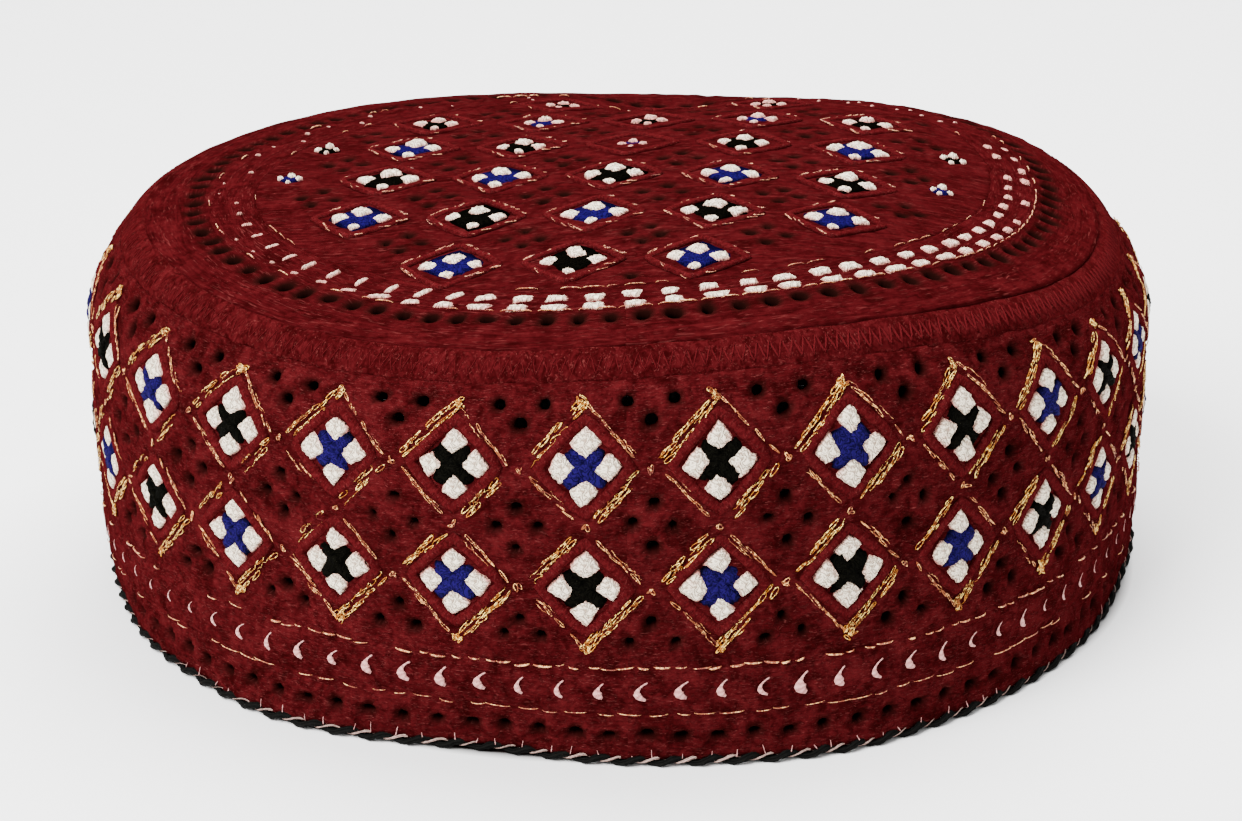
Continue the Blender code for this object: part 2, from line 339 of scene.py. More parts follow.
class CrownSkin(Skin):
    """Outside of the crown: world x and y measured from the cap's middle."""

    def __init__(self, form: CapForm) -> None:
        """Keep the form."""
        self.form = form

    def polar(self, radius: Array, angle: Array) -> tuple[Array, Array]:
        """The crown's coordinates at a radius of the round plan and an angle."""
        reach = radius * self.form.plan_share(angle, 1.0)
        return reach * np.cos(angle), self.form.depth_ratio * reach * np.sin(angle)

    def radius_at(self, first: Array, second: Array) -> Array:
        """Radius on the round plan."""
        angle = np.arctan2(second / self.form.depth_ratio, first)
        return np.hypot(first, second / self.form.depth_ratio) / self.form.plan_share(angle, 1.0)

    def point(self, first: Array, second: Array) -> Array:
        """World points of the crown's outside."""
        angle = np.arctan2(second / self.form.depth_ratio, first)
        share = self.radius_at(first, second) / self.form.seam_radius
        height = self.form.crown_height(share, angle)
        return np.stack([self.form.centre_x + first, self.form.centre_y + second, height], axis=-1)


class SeamSkin(Skin):
    """Outside of the seam's ridge: distance along the outline from the front, and across the ridge."""

    def __init__(self, band: BandSkin, half_width: float, proud: float) -> None:
        """Find the ridge's chord, from the band's top edge to the crown's edge.

        Args:
            band: Outside of the band.
            half_width: Half of the ridge's width.
            proud: How far the ridge stands out from the chord.
        """
        self.band = band
        self.half_width = half_width
        self.proud = proud
        form = band.form
        low = np.array([form.band_radius(np.array(form.band_top)), form.band_top])
        rise = form.crown_rise * (1.0 - form.crown_edge**2) ** form.crown_power
        high = np.array([form.crown_edge * form.seam_radius, form.seam_height + rise])
        self.middle = 0.5 * (low + high)
        self.chord = (high - low) / np.linalg.norm(high - low)
        self.outward = np.array([self.chord[1], -self.chord[0]])

    def section(self, across: Array, out: Array) -> tuple[Array, Array]:
        """Radius and height at a place of the ridge's cross-section."""
        return (
            self.middle[0] + across * self.chord[0] + out * self.outward[0],
            self.middle[1] + across * self.chord[1] + out * self.outward[1],
        )

    def point(self, first: Array, second: Array) -> Array:
        """World points of the ridge: half an ellipse over the chord."""
        out = self.proud * np.sqrt(np.clip(1.0 - (second / self.half_width) ** 2, 0.0, 1.0))
        radius, height = self.section(second, out)
        return self.band.form.on_plan(radius, height, self.band.angle_at(first), 1.0, 1.0)


# Meshes from arrays


@dataclass
class Patch:
    """Points, faces and their texture coordinates, ready to become a mesh."""

    points: Array
    faces: list[Array]
    corners: list[Array]
    tone: Array


def joined(patches: list[Patch]) -> Patch:
    """Several patches as one.

    Args:
        patches: Patches in any order.

    Returns:
        One patch with all their points and faces.
    """
    points, faces, corners, tone = [], [], [], []
    shift = 0
    for patch in patches:
        points.append(patch.points)
        tone.append(patch.tone)
        faces += [block + shift for block in patch.faces]
        corners += patch.corners
        shift += len(patch.points)
    return Patch(np.concatenate(points), faces, corners, np.concatenate(tone))


def grid_corners(rows: int, columns: int, around: bool) -> tuple[Array, Array]:
    """Corner indices of a grid's cells, counted before and after the wrap.

    Args:
        rows: Points along the grid's first axis.
        columns: Points along its second axis.
        around: Whether the first axis closes on itself.

    Returns:
        Indices of shape (cells, 4, 2) before the wrap, and flat point numbers of shape (cells, 4).
    """
    count = rows if around else rows - 1
    i, j = np.meshgrid(np.arange(count), np.arange(columns - 1), indexing="ij")
    steps = ((0, 0), (1, 0), (1, 1), (0, 1))
    cells = np.stack([pair(i + down, j + right) for down, right in steps], axis=-2).reshape(-1, 4, 2)
    return cells, (cells[..., 0] % rows) * columns + cells[..., 1]


def tubes(
    centres: Array, outward: Array, radius: Array, sides: int, closed: bool, flat: float = 1.0
) -> Patch:
    """Round or flattened tubes along many paths at once.

    A ring's point is the centre plus the radius times (side cos t + flat outward sin t), where side is the
    cross product of the path's direction and outward. Open ends are capped.

    Args:
        centres: Path points of shape (tubes, points, 3).
        outward: Directions away from the cloth, of the same shape.
        radius: Radii of shape (tubes, points).
        sides: Corners of a ring, an even number.
        closed: Whether each path closes on itself.
        flat: Thickness outward as a share of the width.

    Returns:
        All tubes as one patch. Texture coordinates are metres along the path and the turn round it.
    """
    count, length, _ = centres.shape
    if closed:
        ahead, behind = np.roll(centres, -1, axis=1), np.roll(centres, 1, axis=1)
    else:
        ahead = np.concatenate([centres[:, 1:], 2.0 * centres[:, -1:] - centres[:, -2:-1]], axis=1)
        behind = np.concatenate([2.0 * centres[:, :1] - centres[:, 1:2], centres[:, :-1]], axis=1)
    direction = unit(ahead - behind)
    side = unit(np.cross(direction, outward))
    normal = unit(np.cross(side, direction))
    turn = np.arange(sides) * math.tau / sides
    ring = side[:, :, None] * np.cos(turn)[:, None] + flat * normal[:, :, None] * np.sin(turn)[:, None]
    points = centres[:, :, None] + radius[:, :, None, None] * ring
    k, s = np.meshgrid(np.arange(length if closed else length - 1), np.arange(sides), indexing="ij")
    cell_k = np.stack([k, k + 1, k + 1, k], axis=-1).reshape(-1, 4)
    cell_s = np.stack([s, s, s + 1, s + 1], axis=-1).reshape(-1, 4)
    quads = (cell_k % length) * sides + cell_s % sides
    base = (np.arange(count) * length * sides)[:, None, None]
    faces = [(quads[None] + base).reshape(-1, 4)]
    travelled = np.cumsum(np.linalg.norm(ahead - centres, axis=-1), axis=1)
    travelled = np.concatenate([np.zeros((count, 1)), travelled], axis=1)
    corner = pair(travelled[:, cell_k], np.broadcast_to(cell_s / sides, (count, *cell_s.shape)))
    corners = [corner.reshape(-1, 4, 2)]
    if not closed:
        steps = np.arange(0, sides - 2, 2)
        fan = np.stack([np.zeros_like(steps), steps + 1, steps + 2, steps + 3], axis=-1)
        fan = np.where(fan >= sides, sides - 1, fan)
        start = fan[None] + base
        end = fan[None, :, ::-1] + base + (length - 1) * sides
        caps = np.concatenate([start, end], axis=1).reshape(-1, 4)
        faces.append(caps)
        corners.append(np.zeros((*caps.shape, 2)))
    total = count * length * sides
    return Patch(points.reshape(-1, 3), faces, corners, np.zeros(total))


def cushions(
    skin: Skin,
    centre: Array,
    first_axis: Array,
    second_axis: Array,
    height: Array,
    grid: tuple[int, int],
    sink: float,
    roundness: float,
    ripple: Array | float = 0.0,
    skew: Array | None = None,
    fray: Array | None = None,
) -> Patch:
    """Many small stuffed stitches at once, each a rounded rectangle that swells off the cloth.

    With m and n from -1 to 1, a point stands at the centre plus m times the first axis plus n times the
    second, the corners drawn in, and out by the height times (1 - |m|^p)(1 - |n|^p) to a small power. Skew
    makes each side's length change along the other.

    Args:
        skin: Surface that carries the stitches.
        centre: Middles of shape (stitches, 2).
        first_axis: Half of the first side, of the same shape.
        second_axis: Half of the second side, of the same shape.
        height: Heights of shape (stitches,).
        grid: Points along the two sides.
        sink: How deep the edge sits in the cloth.
        roundness: How far the corners are drawn in, from 0 to 1.
        ripple: Extra height of shape (stitches, points, points).
        skew: Two shares for each stitch, or None.
        fray: Sideways shifts of each point in shares of the half sides, or None.

    Returns:
        All stitches as one patch. The tone runs from 0 in the middle to 1 at the edge.
    """
    m, n = np.meshgrid(np.linspace(-1.0, 1.0, grid[0]), np.linspace(-1.0, 1.0, grid[1]), indexing="ij")
    drawn_m = m * (1.0 - 0.30 * roundness * n**2)
    drawn_n = n * (1.0 - 0.30 * roundness * m**2)
    swell = np.clip((1.0 - np.abs(m) ** 3.0) * (1.0 - np.abs(n) ** 3.0), 0.0, 1.0) ** 0.40
    lean = np.zeros((len(centre), 2)) if skew is None else skew
    long = drawn_m * (1.0 + lean[:, 0, None, None] * n)
    wide = drawn_n * (1.0 + lean[:, 1, None, None] * m)
    if fray is not None:
        long, wide = long + fray[..., 0], wide + fray[..., 1]
    place = centre[:, None, None] + long[..., None] * first_axis[:, None, None]
    place = place + wide[..., None] * second_axis[:, None, None]
    out = height[:, None, None] * swell * (1.0 + np.asarray(ripple)) - sink * (1.0 - swell)
    points = skin.place(place[..., 0], place[..., 1], out)
    count = len(centre)
    each = grid[0] * grid[1]
    _, quads = grid_corners(grid[0], grid[1], around=False)
    base = (np.arange(count) * each)[:, None, None]
    i, j = np.meshgrid(np.arange(grid[0]), np.arange(grid[1]), indexing="ij")
    number = i * grid[1] + j
    edge = np.concatenate([number[:-1, 0], number[-1, :-1], number[:0:-1, -1], number[0, :0:-1]])
    size = pair(np.linalg.norm(first_axis, axis=1), np.linalg.norm(second_axis, axis=1))
    local = pair(m, n).reshape(-1, 2)[None] * size[:, None]
    faces = [(quads[None] + base).reshape(-1, 4), (edge[::-1][None, None] + base).reshape(-1, len(edge))]
    corners = [local[:, quads].reshape(-1, 4, 2), local[:, edge[::-1]].reshape(-1, len(edge), 2)]
    tone = np.broadcast_to((1.0 - swell).reshape(1, -1), (count, each)).reshape(-1)
    return Patch(points.reshape(-1, 3), faces, corners, tone)


def pierced_wall(
    outer: Array, inner: Array, keep: Array, places: Array, around: bool, shade: Array
) -> Patch:
    """A closed cloth wall with the cells that are not kept left open, and walls round every opening.

    Args:
        outer: Outer points of shape (rows, columns, 3).
        inner: Inner points of the same shape.
        keep: Which cells are cloth.
        places: Texture coordinates of shape (rows + around, columns, 2).
        around: Whether the first axis closes on itself.
        shade: Tone of the outer points, from 0 to 1.

    Returns:
        The wall as one patch. The tone is the shade outside and 1 inside.
    """
    rows, columns, _ = outer.shape
    cells, numbers = grid_corners(rows, columns, around)
    half = rows * columns
    kept = keep.reshape(-1)
    place = places[cells[..., 0], cells[..., 1]]
    faces = [numbers[kept], numbers[kept][:, ::-1] + half]
    corners = [place[kept], place[kept][:, ::-1]]
    padded = np.zeros((keep.shape[0] + 2, keep.shape[1] + 2), dtype=bool)
    padded[1:-1, 1:-1] = keep
    if around:
        padded[0, 1:-1], padded[-1, 1:-1] = keep[-1], keep[0]
    neighbours = (padded[1:-1, :-2], padded[2:, 1:-1], padded[1:-1, 2:], padded[:-2, 1:-1])
    for side, neighbour in enumerate(neighbours):
        open_side = (keep & ~neighbour).reshape(-1)
        first, second = side, (side + 1) % 4
        here, there = numbers[open_side, first], numbers[open_side, second]
        faces.append(np.stack([there, here, here + half, there + half], axis=-1))
        uv_here, uv_there = place[open_side, first], place[open_side, second]
        corners.append(np.stack([uv_there, uv_here, uv_here, uv_there], axis=1))
    tone = np.concatenate([shade.reshape(-1), np.ones(half)])
    return Patch(np.concatenate([outer.reshape(-1, 3), inner.reshape(-1, 3)]), faces, corners, tone)


def without_loose(patch: Patch) -> Patch:
    """The patch with only the points that its faces use."""
    used = np.unique(np.concatenate([block.reshape(-1) for block in patch.faces]))
    number = np.full(len(patch.points), -1)
    number[used] = np.arange(len(used))
    faces = [number[block] for block in patch.faces]
    return Patch(patch.points[used], faces, patch.corners, patch.tone[used])


def add_piece(
    name: str, patch: Patch, finish: "Finish", replaces: tuple[str, ...] = ()
) -> bpy.types.Object:
    """Make a patch a smooth-shaded piece of the cap.

    Args:
        name: Name of the piece.
        patch: Its points and faces.
        finish: Its finish.
        replaces: CAD nodes that it stands for.

    Returns:
        The new object.
    """
    mesh = bpy.data.meshes.new(name)
    blocks = [block for block in patch.faces if len(block)]
    corner_blocks = [corner for corner, block in zip(patch.corners, patch.faces) if len(block)]
    totals = np.concatenate([np.full(len(block), block.shape[1], dtype=np.int32) for block in blocks])
    loops = np.concatenate([block.reshape(-1) for block in blocks]).astype(np.int32)
    mesh.vertices.add(len(patch.points))
    mesh.vertices.foreach_set("co", patch.points.astype(np.float32).reshape(-1))
    mesh.loops.add(len(loops))
    mesh.loops.foreach_set("vertex_index", loops)
    mesh.polygons.add(len(totals))
    mesh.polygons.foreach_set("loop_start", np.concatenate([[0], np.cumsum(totals)[:-1]]).astype(np.int32))
    mesh.polygons.foreach_set("loop_total", totals)
    uv = mesh.uv_layers.new(name="cloth")
    places = np.concatenate([corner.reshape(-1, 2) for corner in corner_blocks])
    uv.data.foreach_set("uv", places.astype(np.float32).reshape(-1))
    tone = mesh.attributes.new("tone", "FLOAT", "POINT")
    tone.data.foreach_set("value", patch.tone.astype(np.float32))
    mesh.update(calc_edges=True)
    mesh.validate()
    mesh.shade_smooth()
    mesh.materials.append(finish.material())
    piece = bpy.data.objects.new(name, mesh)
    bpy.context.scene.collection.objects.link(piece)
    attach(piece, BODY)
    if replaces:
        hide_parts(*replaces)
    log.info("%s: %d triangles", name, int((totals - 2).sum()))
    return piece


# Finishes


class Sheet:
    """A node tree that is filled node by node."""

    def __init__(self, tree: bpy.types.NodeTree) -> None:
        """Keep the tree."""
        self.tree = tree

    def node(
        self, kind: str, inputs: dict[str | int, object] | None = None, **settings: object
    ) -> bpy.types.Node:
        """Add a node, set its options, and set or link its inputs.

        Args:
            kind: The node's type.
            inputs: Values or output sockets by input name or number.
            settings: The node's own options.

        Returns:
            The new node.
        """
        made = self.tree.nodes.new(kind)
        for key, value in settings.items():
            setattr(made, key, value)
        for key, value in (inputs or {}).items():
            if isinstance(value, bpy.types.NodeSocket):
                self.tree.links.new(value, made.inputs[key])
            else:
                made.inputs[key].default_value = value
        return made

    def math(self, operation: str, first: object, second: object = 0.0) -> bpy.types.NodeSocket:
        """A Math node's result."""
        return self.node("ShaderNodeMath", {0: first, 1: second}, operation=operation).outputs[0]

    def plus(self, first: object, second: object) -> bpy.types.NodeSocket:
        """The sum of two values."""
        return self.math("ADD", first, second)

    def times(self, first: object, second: object) -> bpy.types.NodeSocket:
        """The product of two values."""
        return self.math("MULTIPLY", first, second)

    def mix(self, factor: object, first: object, second: object) -> bpy.types.NodeSocket:
        """A colour between two colours.

        Args:
            factor: Share of the second colour, a value or a socket.
            first: Colour or socket.
            second: Colour or socket.

        Returns:
            The mixed colour.
        """
        made = self.node("ShaderNodeMix", {0: factor}, data_type="RGBA")
        for socket, value in ((made.inputs[6], first), (made.inputs[7], second)):
            if isinstance(value, bpy.types.NodeSocket):
                self.tree.links.new(value, socket)
            else:
                socket.default_value = (*value, 1.0) if len(value) == 3 else value
        return made.outputs[2]

    def noise(
        self, place: object, scale: float, detail: float, distortion: float = 0.0, roughness: float = 0.55
    ) -> bpy.types.NodeSocket:
        """A Noise Texture's value."""
        settings = {"Vector": place, "Scale": scale, "Detail": detail}
        settings.update({"Roughness": roughness, "Distortion": distortion})
        return self.node("ShaderNodeTexNoise", settings).outputs["Fac"]

    def spread(self, value: object, low: float, high: float) -> bpy.types.NodeSocket:
        """A value stretched so that low becomes 0 and high becomes 1."""
        made = self.node("ShaderNodeMapRange", {"Value": value, "From Min": low, "From Max": high})
        return made.outputs["Result"]


def new_group(
    name: str, inputs: dict[str, tuple[str, object]], outputs: dict[str, str]
) -> tuple[Sheet, bpy.types.Node, bpy.types.Node]:
    """An empty shader node group with named inputs and outputs.

    Args:
        name: Name of the group.
        inputs: Socket type and default value by name.
        outputs: Socket type by name.

    Returns:
        The group's sheet, its input node and its output node.
    """
    tree = bpy.data.node_groups.new(name, "ShaderNodeTree")
    for key, (kind, default) in inputs.items():
        socket = tree.interface.new_socket(name=key, in_out="INPUT", socket_type=kind)
        socket.default_value = default
    for key, kind in outputs.items():
        tree.interface.new_socket(name=key, in_out="OUTPUT", socket_type=kind)
    sheet = Sheet(tree)
    return sheet, sheet.node("NodeGroupInput"), sheet.node("NodeGroupOutput")


def thread_field_group() -> bpy.types.NodeTree:
    """Felted embroidery thread: soft clumps, faint streaks along the first coordinate, and painted glints.

    The streak is noise on coordinates divided by the thread's length and width. The clumps are wider noise
    at two sizes. The glints are specks of painted highlight on single fibres, the peaks of a finer streak,
    standing in for their shine.
    """
    found = bpy.data.node_groups.get("thread_field")
    if found:
        return found
    sheet, entry, leave = new_group(
        "thread_field",
        {
            "Vector": ("NodeSocketVector", (0.0, 0.0, 0.0)),
            "Length": ("NodeSocketFloat", 0.0024),
            "Width": ("NodeSocketFloat", 0.0005),
            "Streak": ("NodeSocketFloat", 0.4),
            "Dark": ("NodeSocketColor", (0.0, 0.0, 0.0, 1.0)),
            "Middle": ("NodeSocketColor", (0.1, 0.1, 0.1, 1.0)),
            "Bright": ("NodeSocketColor", (0.2, 0.2, 0.2, 1.0)),
            "Fibre Glint": ("NodeSocketColor", (0.4, 0.3, 0.3, 1.0)),
        },
        {"Color": "NodeSocketColor", "Height": "NodeSocketFloat"},
    )
    vector = entry.outputs["Vector"]
    parts = sheet.node("ShaderNodeSeparateXYZ", {0: vector})
    along = sheet.math("DIVIDE", parts.outputs[0], entry.outputs["Length"])
    across = sheet.math("DIVIDE", parts.outputs[1], entry.outputs["Width"])
    streak_at = sheet.node("ShaderNodeCombineXYZ", {0: along, 1: across})
    finer = {0: sheet.times(along, 2.1), 1: sheet.times(across, 2.3), 2: 3.7}
    fine_at = sheet.node("ShaderNodeCombineXYZ", finer)
    streak = sheet.noise(streak_at.outputs[0], 1.0, 3.0, 1.5)
    clump = sheet.noise(vector, 640.0, 4.0, 0.8)
    cloud = sheet.noise(vector, 190.0, 3.0, 0.6)
    fuzz = sheet.noise(vector, 2200.0, 2.0, 0.0)
    fine = sheet.noise(fine_at.outputs[0], 1.0, 1.0, 2.0)
    mixed = sheet.plus(sheet.times(clump, 0.5), sheet.times(cloud, 0.5))
    weighed = sheet.times(sheet.math("SUBTRACT", streak, mixed), entry.outputs["Streak"])
    lit = sheet.plus(mixed, weighed)
    lower = sheet.mix(sheet.spread(lit, 0.40, 0.51), entry.outputs["Dark"], entry.outputs["Middle"])
    upper = sheet.mix(sheet.spread(lit, 0.50, 0.62), lower, entry.outputs["Bright"])
    # Painted highlight: peaks of the finer streak turn part way to the glint colour.
    fibre_glint_mask = sheet.times(sheet.spread(fine, 0.62, 0.76), 0.55)
    sheet.tree.links.new(sheet.mix(fibre_glint_mask, upper, entry.outputs["Fibre Glint"]), leave.inputs["Color"])
    height = sheet.plus(lit, sheet.times(fuzz, 0.16))
    height = sheet.plus(height, sheet.times(fine, 0.20))
    sheet.tree.links.new(height, leave.inputs["Height"])
    return sheet.tree


def satin_group() -> bpy.types.NodeTree:
    """Laid satin threads: strands across the first coordinate, waved a little, with painted shade in
    between.
    """
    found = bpy.data.node_groups.get("satin_strands")
    if found:
        return found
    sheet, entry, leave = new_group(
        "satin_strands",
        {
            "Vector": ("NodeSocketVector", (0.0, 0.0, 0.0)),
            "Strand": ("NodeSocketFloat", 0.00045),
            "Waver": ("NodeSocketFloat", 0.25),
        },
        {"Groove": "NodeSocketFloat", "Height": "NodeSocketFloat"},
    )
    noise = sheet.noise(entry.outputs["Vector"], 650.0, 2.0)
    parts = sheet.node("ShaderNodeSeparateXYZ", {0: entry.outputs["Vector"]})
    turns = sheet.math("DIVIDE", parts.outputs[0], entry.outputs["Strand"])
    bent = sheet.plus(turns, sheet.times(noise, sheet.times(entry.outputs["Waver"], 8.0)))
    wave = sheet.math("ABSOLUTE", sheet.math("SINE", sheet.times(bent, math.pi)))
    rough = sheet.noise(entry.outputs["Vector"], 1800.0, 2.0, roughness=0.6)
    height = sheet.plus(sheet.times(wave, 0.55), sheet.times(rough, 0.9))
    groove = sheet.math("SUBTRACT", 1.0, sheet.spread(height, 0.52, 0.88))
    sheet.tree.links.new(groove, leave.inputs["Groove"])
    sheet.tree.links.new(height, leave.inputs["Height"])
    return sheet.tree


@dataclass(frozen=True)
class Finish:
    """A named material with its Principled shader's constant values."""

    name: str
    roughness: float = 0.85
    metallic: float = 0.0
    specular: float = 0.5
    sheen: float = 0.0
    sheen_tint: Colour = (1.0, 1.0, 1.0)
    bump: float = 0.5
    bump_depth: float = 0.3 * MM

    def material(self) -> bpy.types.Material:
        """The finish's material, made once."""
        found = bpy.data.materials.get(self.name)
        if found:
            return found
        material = bpy.data.materials.new(self.name)
        material.use_nodes = True
        sheet = Sheet(material.node_tree)
        shader = material.node_tree.nodes["Principled BSDF"]
        shader.inputs["Roughness"].default_value = self.roughness
        shader.inputs["Metallic"].default_value = self.metallic
        shader.inputs["Specular IOR Level"].default_value = self.specular
        shader.inputs["Sheen Weight"].default_value = self.sheen
        shader.inputs["Sheen Roughness"].default_value = 0.45
        shader.inputs["Sheen Tint"].default_value = (*self.sheen_tint, 1.0)
        colour, height = self.surface(sheet)
        relief = {"Height": height, "Strength": self.bump, "Distance": self.bump_depth}
        bump = sheet.node("ShaderNodeBump", relief)
        sheet.tree.links.new(colour, shader.inputs["Base Color"])
        sheet.tree.links.new(bump.outputs["Normal"], shader.inputs["Normal"])
        return material

    def surface(self, sheet: Sheet) -> tuple[bpy.types.NodeSocket, bpy.types.NodeSocket]:
        """Colour and bump height over the surface.

        Args:
            sheet: The material's sheet.

        Returns:
            Sockets of the colour and of the height.
        """
        raise NotImplementedError


def cloth_place(sheet: Sheet) -> bpy.types.NodeSocket:
    """The piece's own coordinates along the cloth."""
    return sheet.node("ShaderNodeUVMap", uv_map="cloth").outputs["UV"]


def tone_of(sheet: Sheet) -> bpy.types.NodeSocket:
    """The piece's tone attribute."""
    return sheet.node("ShaderNodeAttribute", attribute_name="tone").outputs["Fac"]


@dataclass(frozen=True)
class FeltedThread(Finish):
    """Dense maroon embroidery worn to a felt, with a plain dark inside that is also painted as eyelet shade.
    """

    roughness: float = 0.95
    specular: float = 0.0
    sheen: float = 0.02
    sheen_tint: Colour = (0.80, 0.05, 0.06)
    dark: Colour = (0.0120, 0.0007, 0.0009)
    middle: Colour = (0.0290, 0.0020, 0.0027)
    bright: Colour = (0.0520, 0.0046, 0.0056)
    # Painted highlight: colour of bright specks on single fibres, in place of a specular shine.
    fibre_glint: Colour = (0.150, 0.036, 0.034)
    # Colour of the inner face, also painted as shade at the eyelets' edges by the tone.
    inside: Colour = (0.0062, 0.0017, 0.0013)
    length: float = 2.6 * MM
    width: float = 0.45 * MM
    streak: float = 0.35

    def surface(self, sheet: Sheet) -> tuple[bpy.types.NodeSocket, bpy.types.NodeSocket]:
        """Felted streaks outside, turning to the plain inside by the tone, which paints shade round the
        eyelets.
        """
        tones = {"Dark": self.dark, "Middle": self.middle, "Bright": self.bright, "Fibre Glint": self.fibre_glint}
        inputs = {name: (*colour, 1.0) for name, colour in tones.items()}
        inputs.update({"Length": self.length, "Width": self.width, "Streak": self.streak})
        inputs["Vector"] = cloth_place(sheet)
        group = sheet.node("ShaderNodeGroup", inputs, node_tree=thread_field_group())
        # The tone is 1 on the inner face and, outside, painted shade at the eyelets' edges.
        colour = sheet.mix(tone_of(sheet), group.outputs["Color"], self.inside)
        return colour, group.outputs["Height"]


@dataclass(frozen=True)
class SatinThread(Finish):
    """Laid satin thread whose colour shifts towards the edge of each stitch."""

    colour: Colour = (0.85, 0.74, 0.57)
    shade: Colour = (0.26, 0.17, 0.12)
    edge: Colour = (0.62, 0.25, 0.21)
    edge_from: float = 0.10
    edge_to: float = 0.72
    strand: float = 0.80 * MM
    waver: float = 0.25

    def surface(self, sheet: Sheet) -> tuple[bpy.types.NodeSocket, bpy.types.NodeSocket]:
        """Strand grooves with painted shade, over a colour that turns to the edge colour by the tone."""
        inputs = {"Vector": cloth_place(sheet), "Strand": self.strand, "Waver": self.waver}
        group = sheet.node("ShaderNodeGroup", inputs, node_tree=satin_group())
        place = sheet.node("ShaderNodeTexCoord").outputs["Object"]
        blotch = sheet.noise(place, 600.0, 3.0, roughness=0.6)
        edge = sheet.plus(tone_of(sheet), sheet.times(sheet.math("SUBTRACT", blotch, 0.5), 1.2))
        colour = sheet.mix(sheet.spread(edge, self.edge_from, self.edge_to), self.colour, self.edge)
        # Painted shade: the grooves between strands turn towards the shade colour.
        colour = sheet.mix(sheet.times(group.outputs["Groove"], 0.85), colour, self.shade)
        return colour, group.outputs["Height"]


@dataclass(frozen=True)
class MetalThread(Finish):
    """Metal-wrapped thread that runs from bright gold to orange and pink along the work."""

    gold: Colour = (0.46, 0.160, 0.010)
    orange: Colour = (0.180, 0.038, 0.006)
    # Colour of the painted glints: small highlights in place of the metal's reflections.
    pale: Colour = (1.00, 0.69, 0.190)
    wrap: float = 0.35 * MM

    def surface(self, sheet: Sheet) -> tuple[bpy.types.NodeSocket, bpy.types.NodeSocket]:
        """Gold and orange in patches, pale painted glints over them, and the wrap's turns as bump."""
        place = sheet.node("ShaderNodeTexCoord").outputs["Object"]
        patch = sheet.noise(place, 330.0, 2.0, roughness=0.6)
        glint = sheet.noise(place, 1900.0, 2.0, roughness=0.6)
        colour = sheet.mix(sheet.spread(patch, 0.38, 0.58), self.gold, self.orange)
        # Painted highlight: fine specks turn to the pale glint colour.
        colour = sheet.mix(sheet.spread(glint, 0.495, 0.565), colour, self.pale)
        parts = sheet.node("ShaderNodeSeparateXYZ", {0: cloth_place(sheet)})
        wound = sheet.times(parts.outputs[0], math.tau / self.wrap)
        turns = sheet.plus(wound, sheet.times(parts.outputs[1], math.tau))
        return colour, sheet.math("SINE", turns)


@dataclass(frozen=True)
class TwistedPly(Finish):
    """One ply of cord: fine strands that wind round it, with painted shade between them."""

    colour: Colour = (0.01, 0.01, 0.01)
    shade: Colour = (0.002, 0.002, 0.002)
    lay: float = 1.6 * MM
    strands: float = 5.0

    def surface(self, sheet: Sheet) -> tuple[bpy.types.NodeSocket, bpy.types.NodeSocket]:
        """Strands by the sine of the length and the turn, roughened by noise."""
        parts = sheet.node("ShaderNodeSeparateXYZ", {0: cloth_place(sheet)})
        place = sheet.node("ShaderNodeTexCoord").outputs["Object"]
        noise = sheet.noise(place, 1400.0, 2.0, roughness=0.6)
        wound = sheet.times(parts.outputs[0], math.pi / self.lay)
        turns = sheet.plus(wound, sheet.times(parts.outputs[1], math.pi * self.strands))
        wave = sheet.math("ABSOLUTE", sheet.math("SINE", turns))
        height = sheet.plus(sheet.times(wave, 0.7), sheet.times(noise, 0.5))
        # Painted shade: the gaps between strands turn to the shade colour.
        return sheet.mix(sheet.spread(height, 0.25, 0.85), self.shade, self.colour), height


@dataclass(frozen=True)
class PlainFloor(Finish):
    """A plain pale floor with painted shadow under the cap."""

    colour: Colour = (0.93, 0.93, 0.93)
    mottle: Colour = (0.88, 0.88, 0.88)
    shaded: Colour = (0.010, 0.004, 0.003)
    shade_ends: tuple[float, float] = (0.0920, 0.0945)
    flattened: Colour = (1.0, 1.0417, 1.0)

    def surface(self, sheet: Sheet) -> tuple[bpy.types.NodeSocket, bpy.types.NodeSocket]:
        """Nearly even white with the faintest mottle, and painted shadow under the cap, seen through the
        eyelets.
        """
        place = sheet.node("ShaderNodeTexCoord").outputs["Object"]
        noise = sheet.noise(place, 3.0, 1.0, roughness=0.5)
        colour = sheet.mix(sheet.times(noise, 0.02), self.colour, self.mottle)
        # Painted shadow: inside the cap's outline the floor turns to the shaded colour.
        flat = sheet.node("ShaderNodeVectorMath", {0: place, 1: self.flattened}, operation="MULTIPLY")
        length = sheet.node("ShaderNodeVectorMath", {0: flat.outputs["Vector"]}, operation="LENGTH")
        outside = sheet.spread(length.outputs["Value"], *self.shade_ends)
        return sheet.mix(outside, self.shaded, colour), noise


BAND_CLOTH = FeltedThread("maroon_band_felt", bump=1.0, bump_depth=0.70 * MM, streak=0.25)
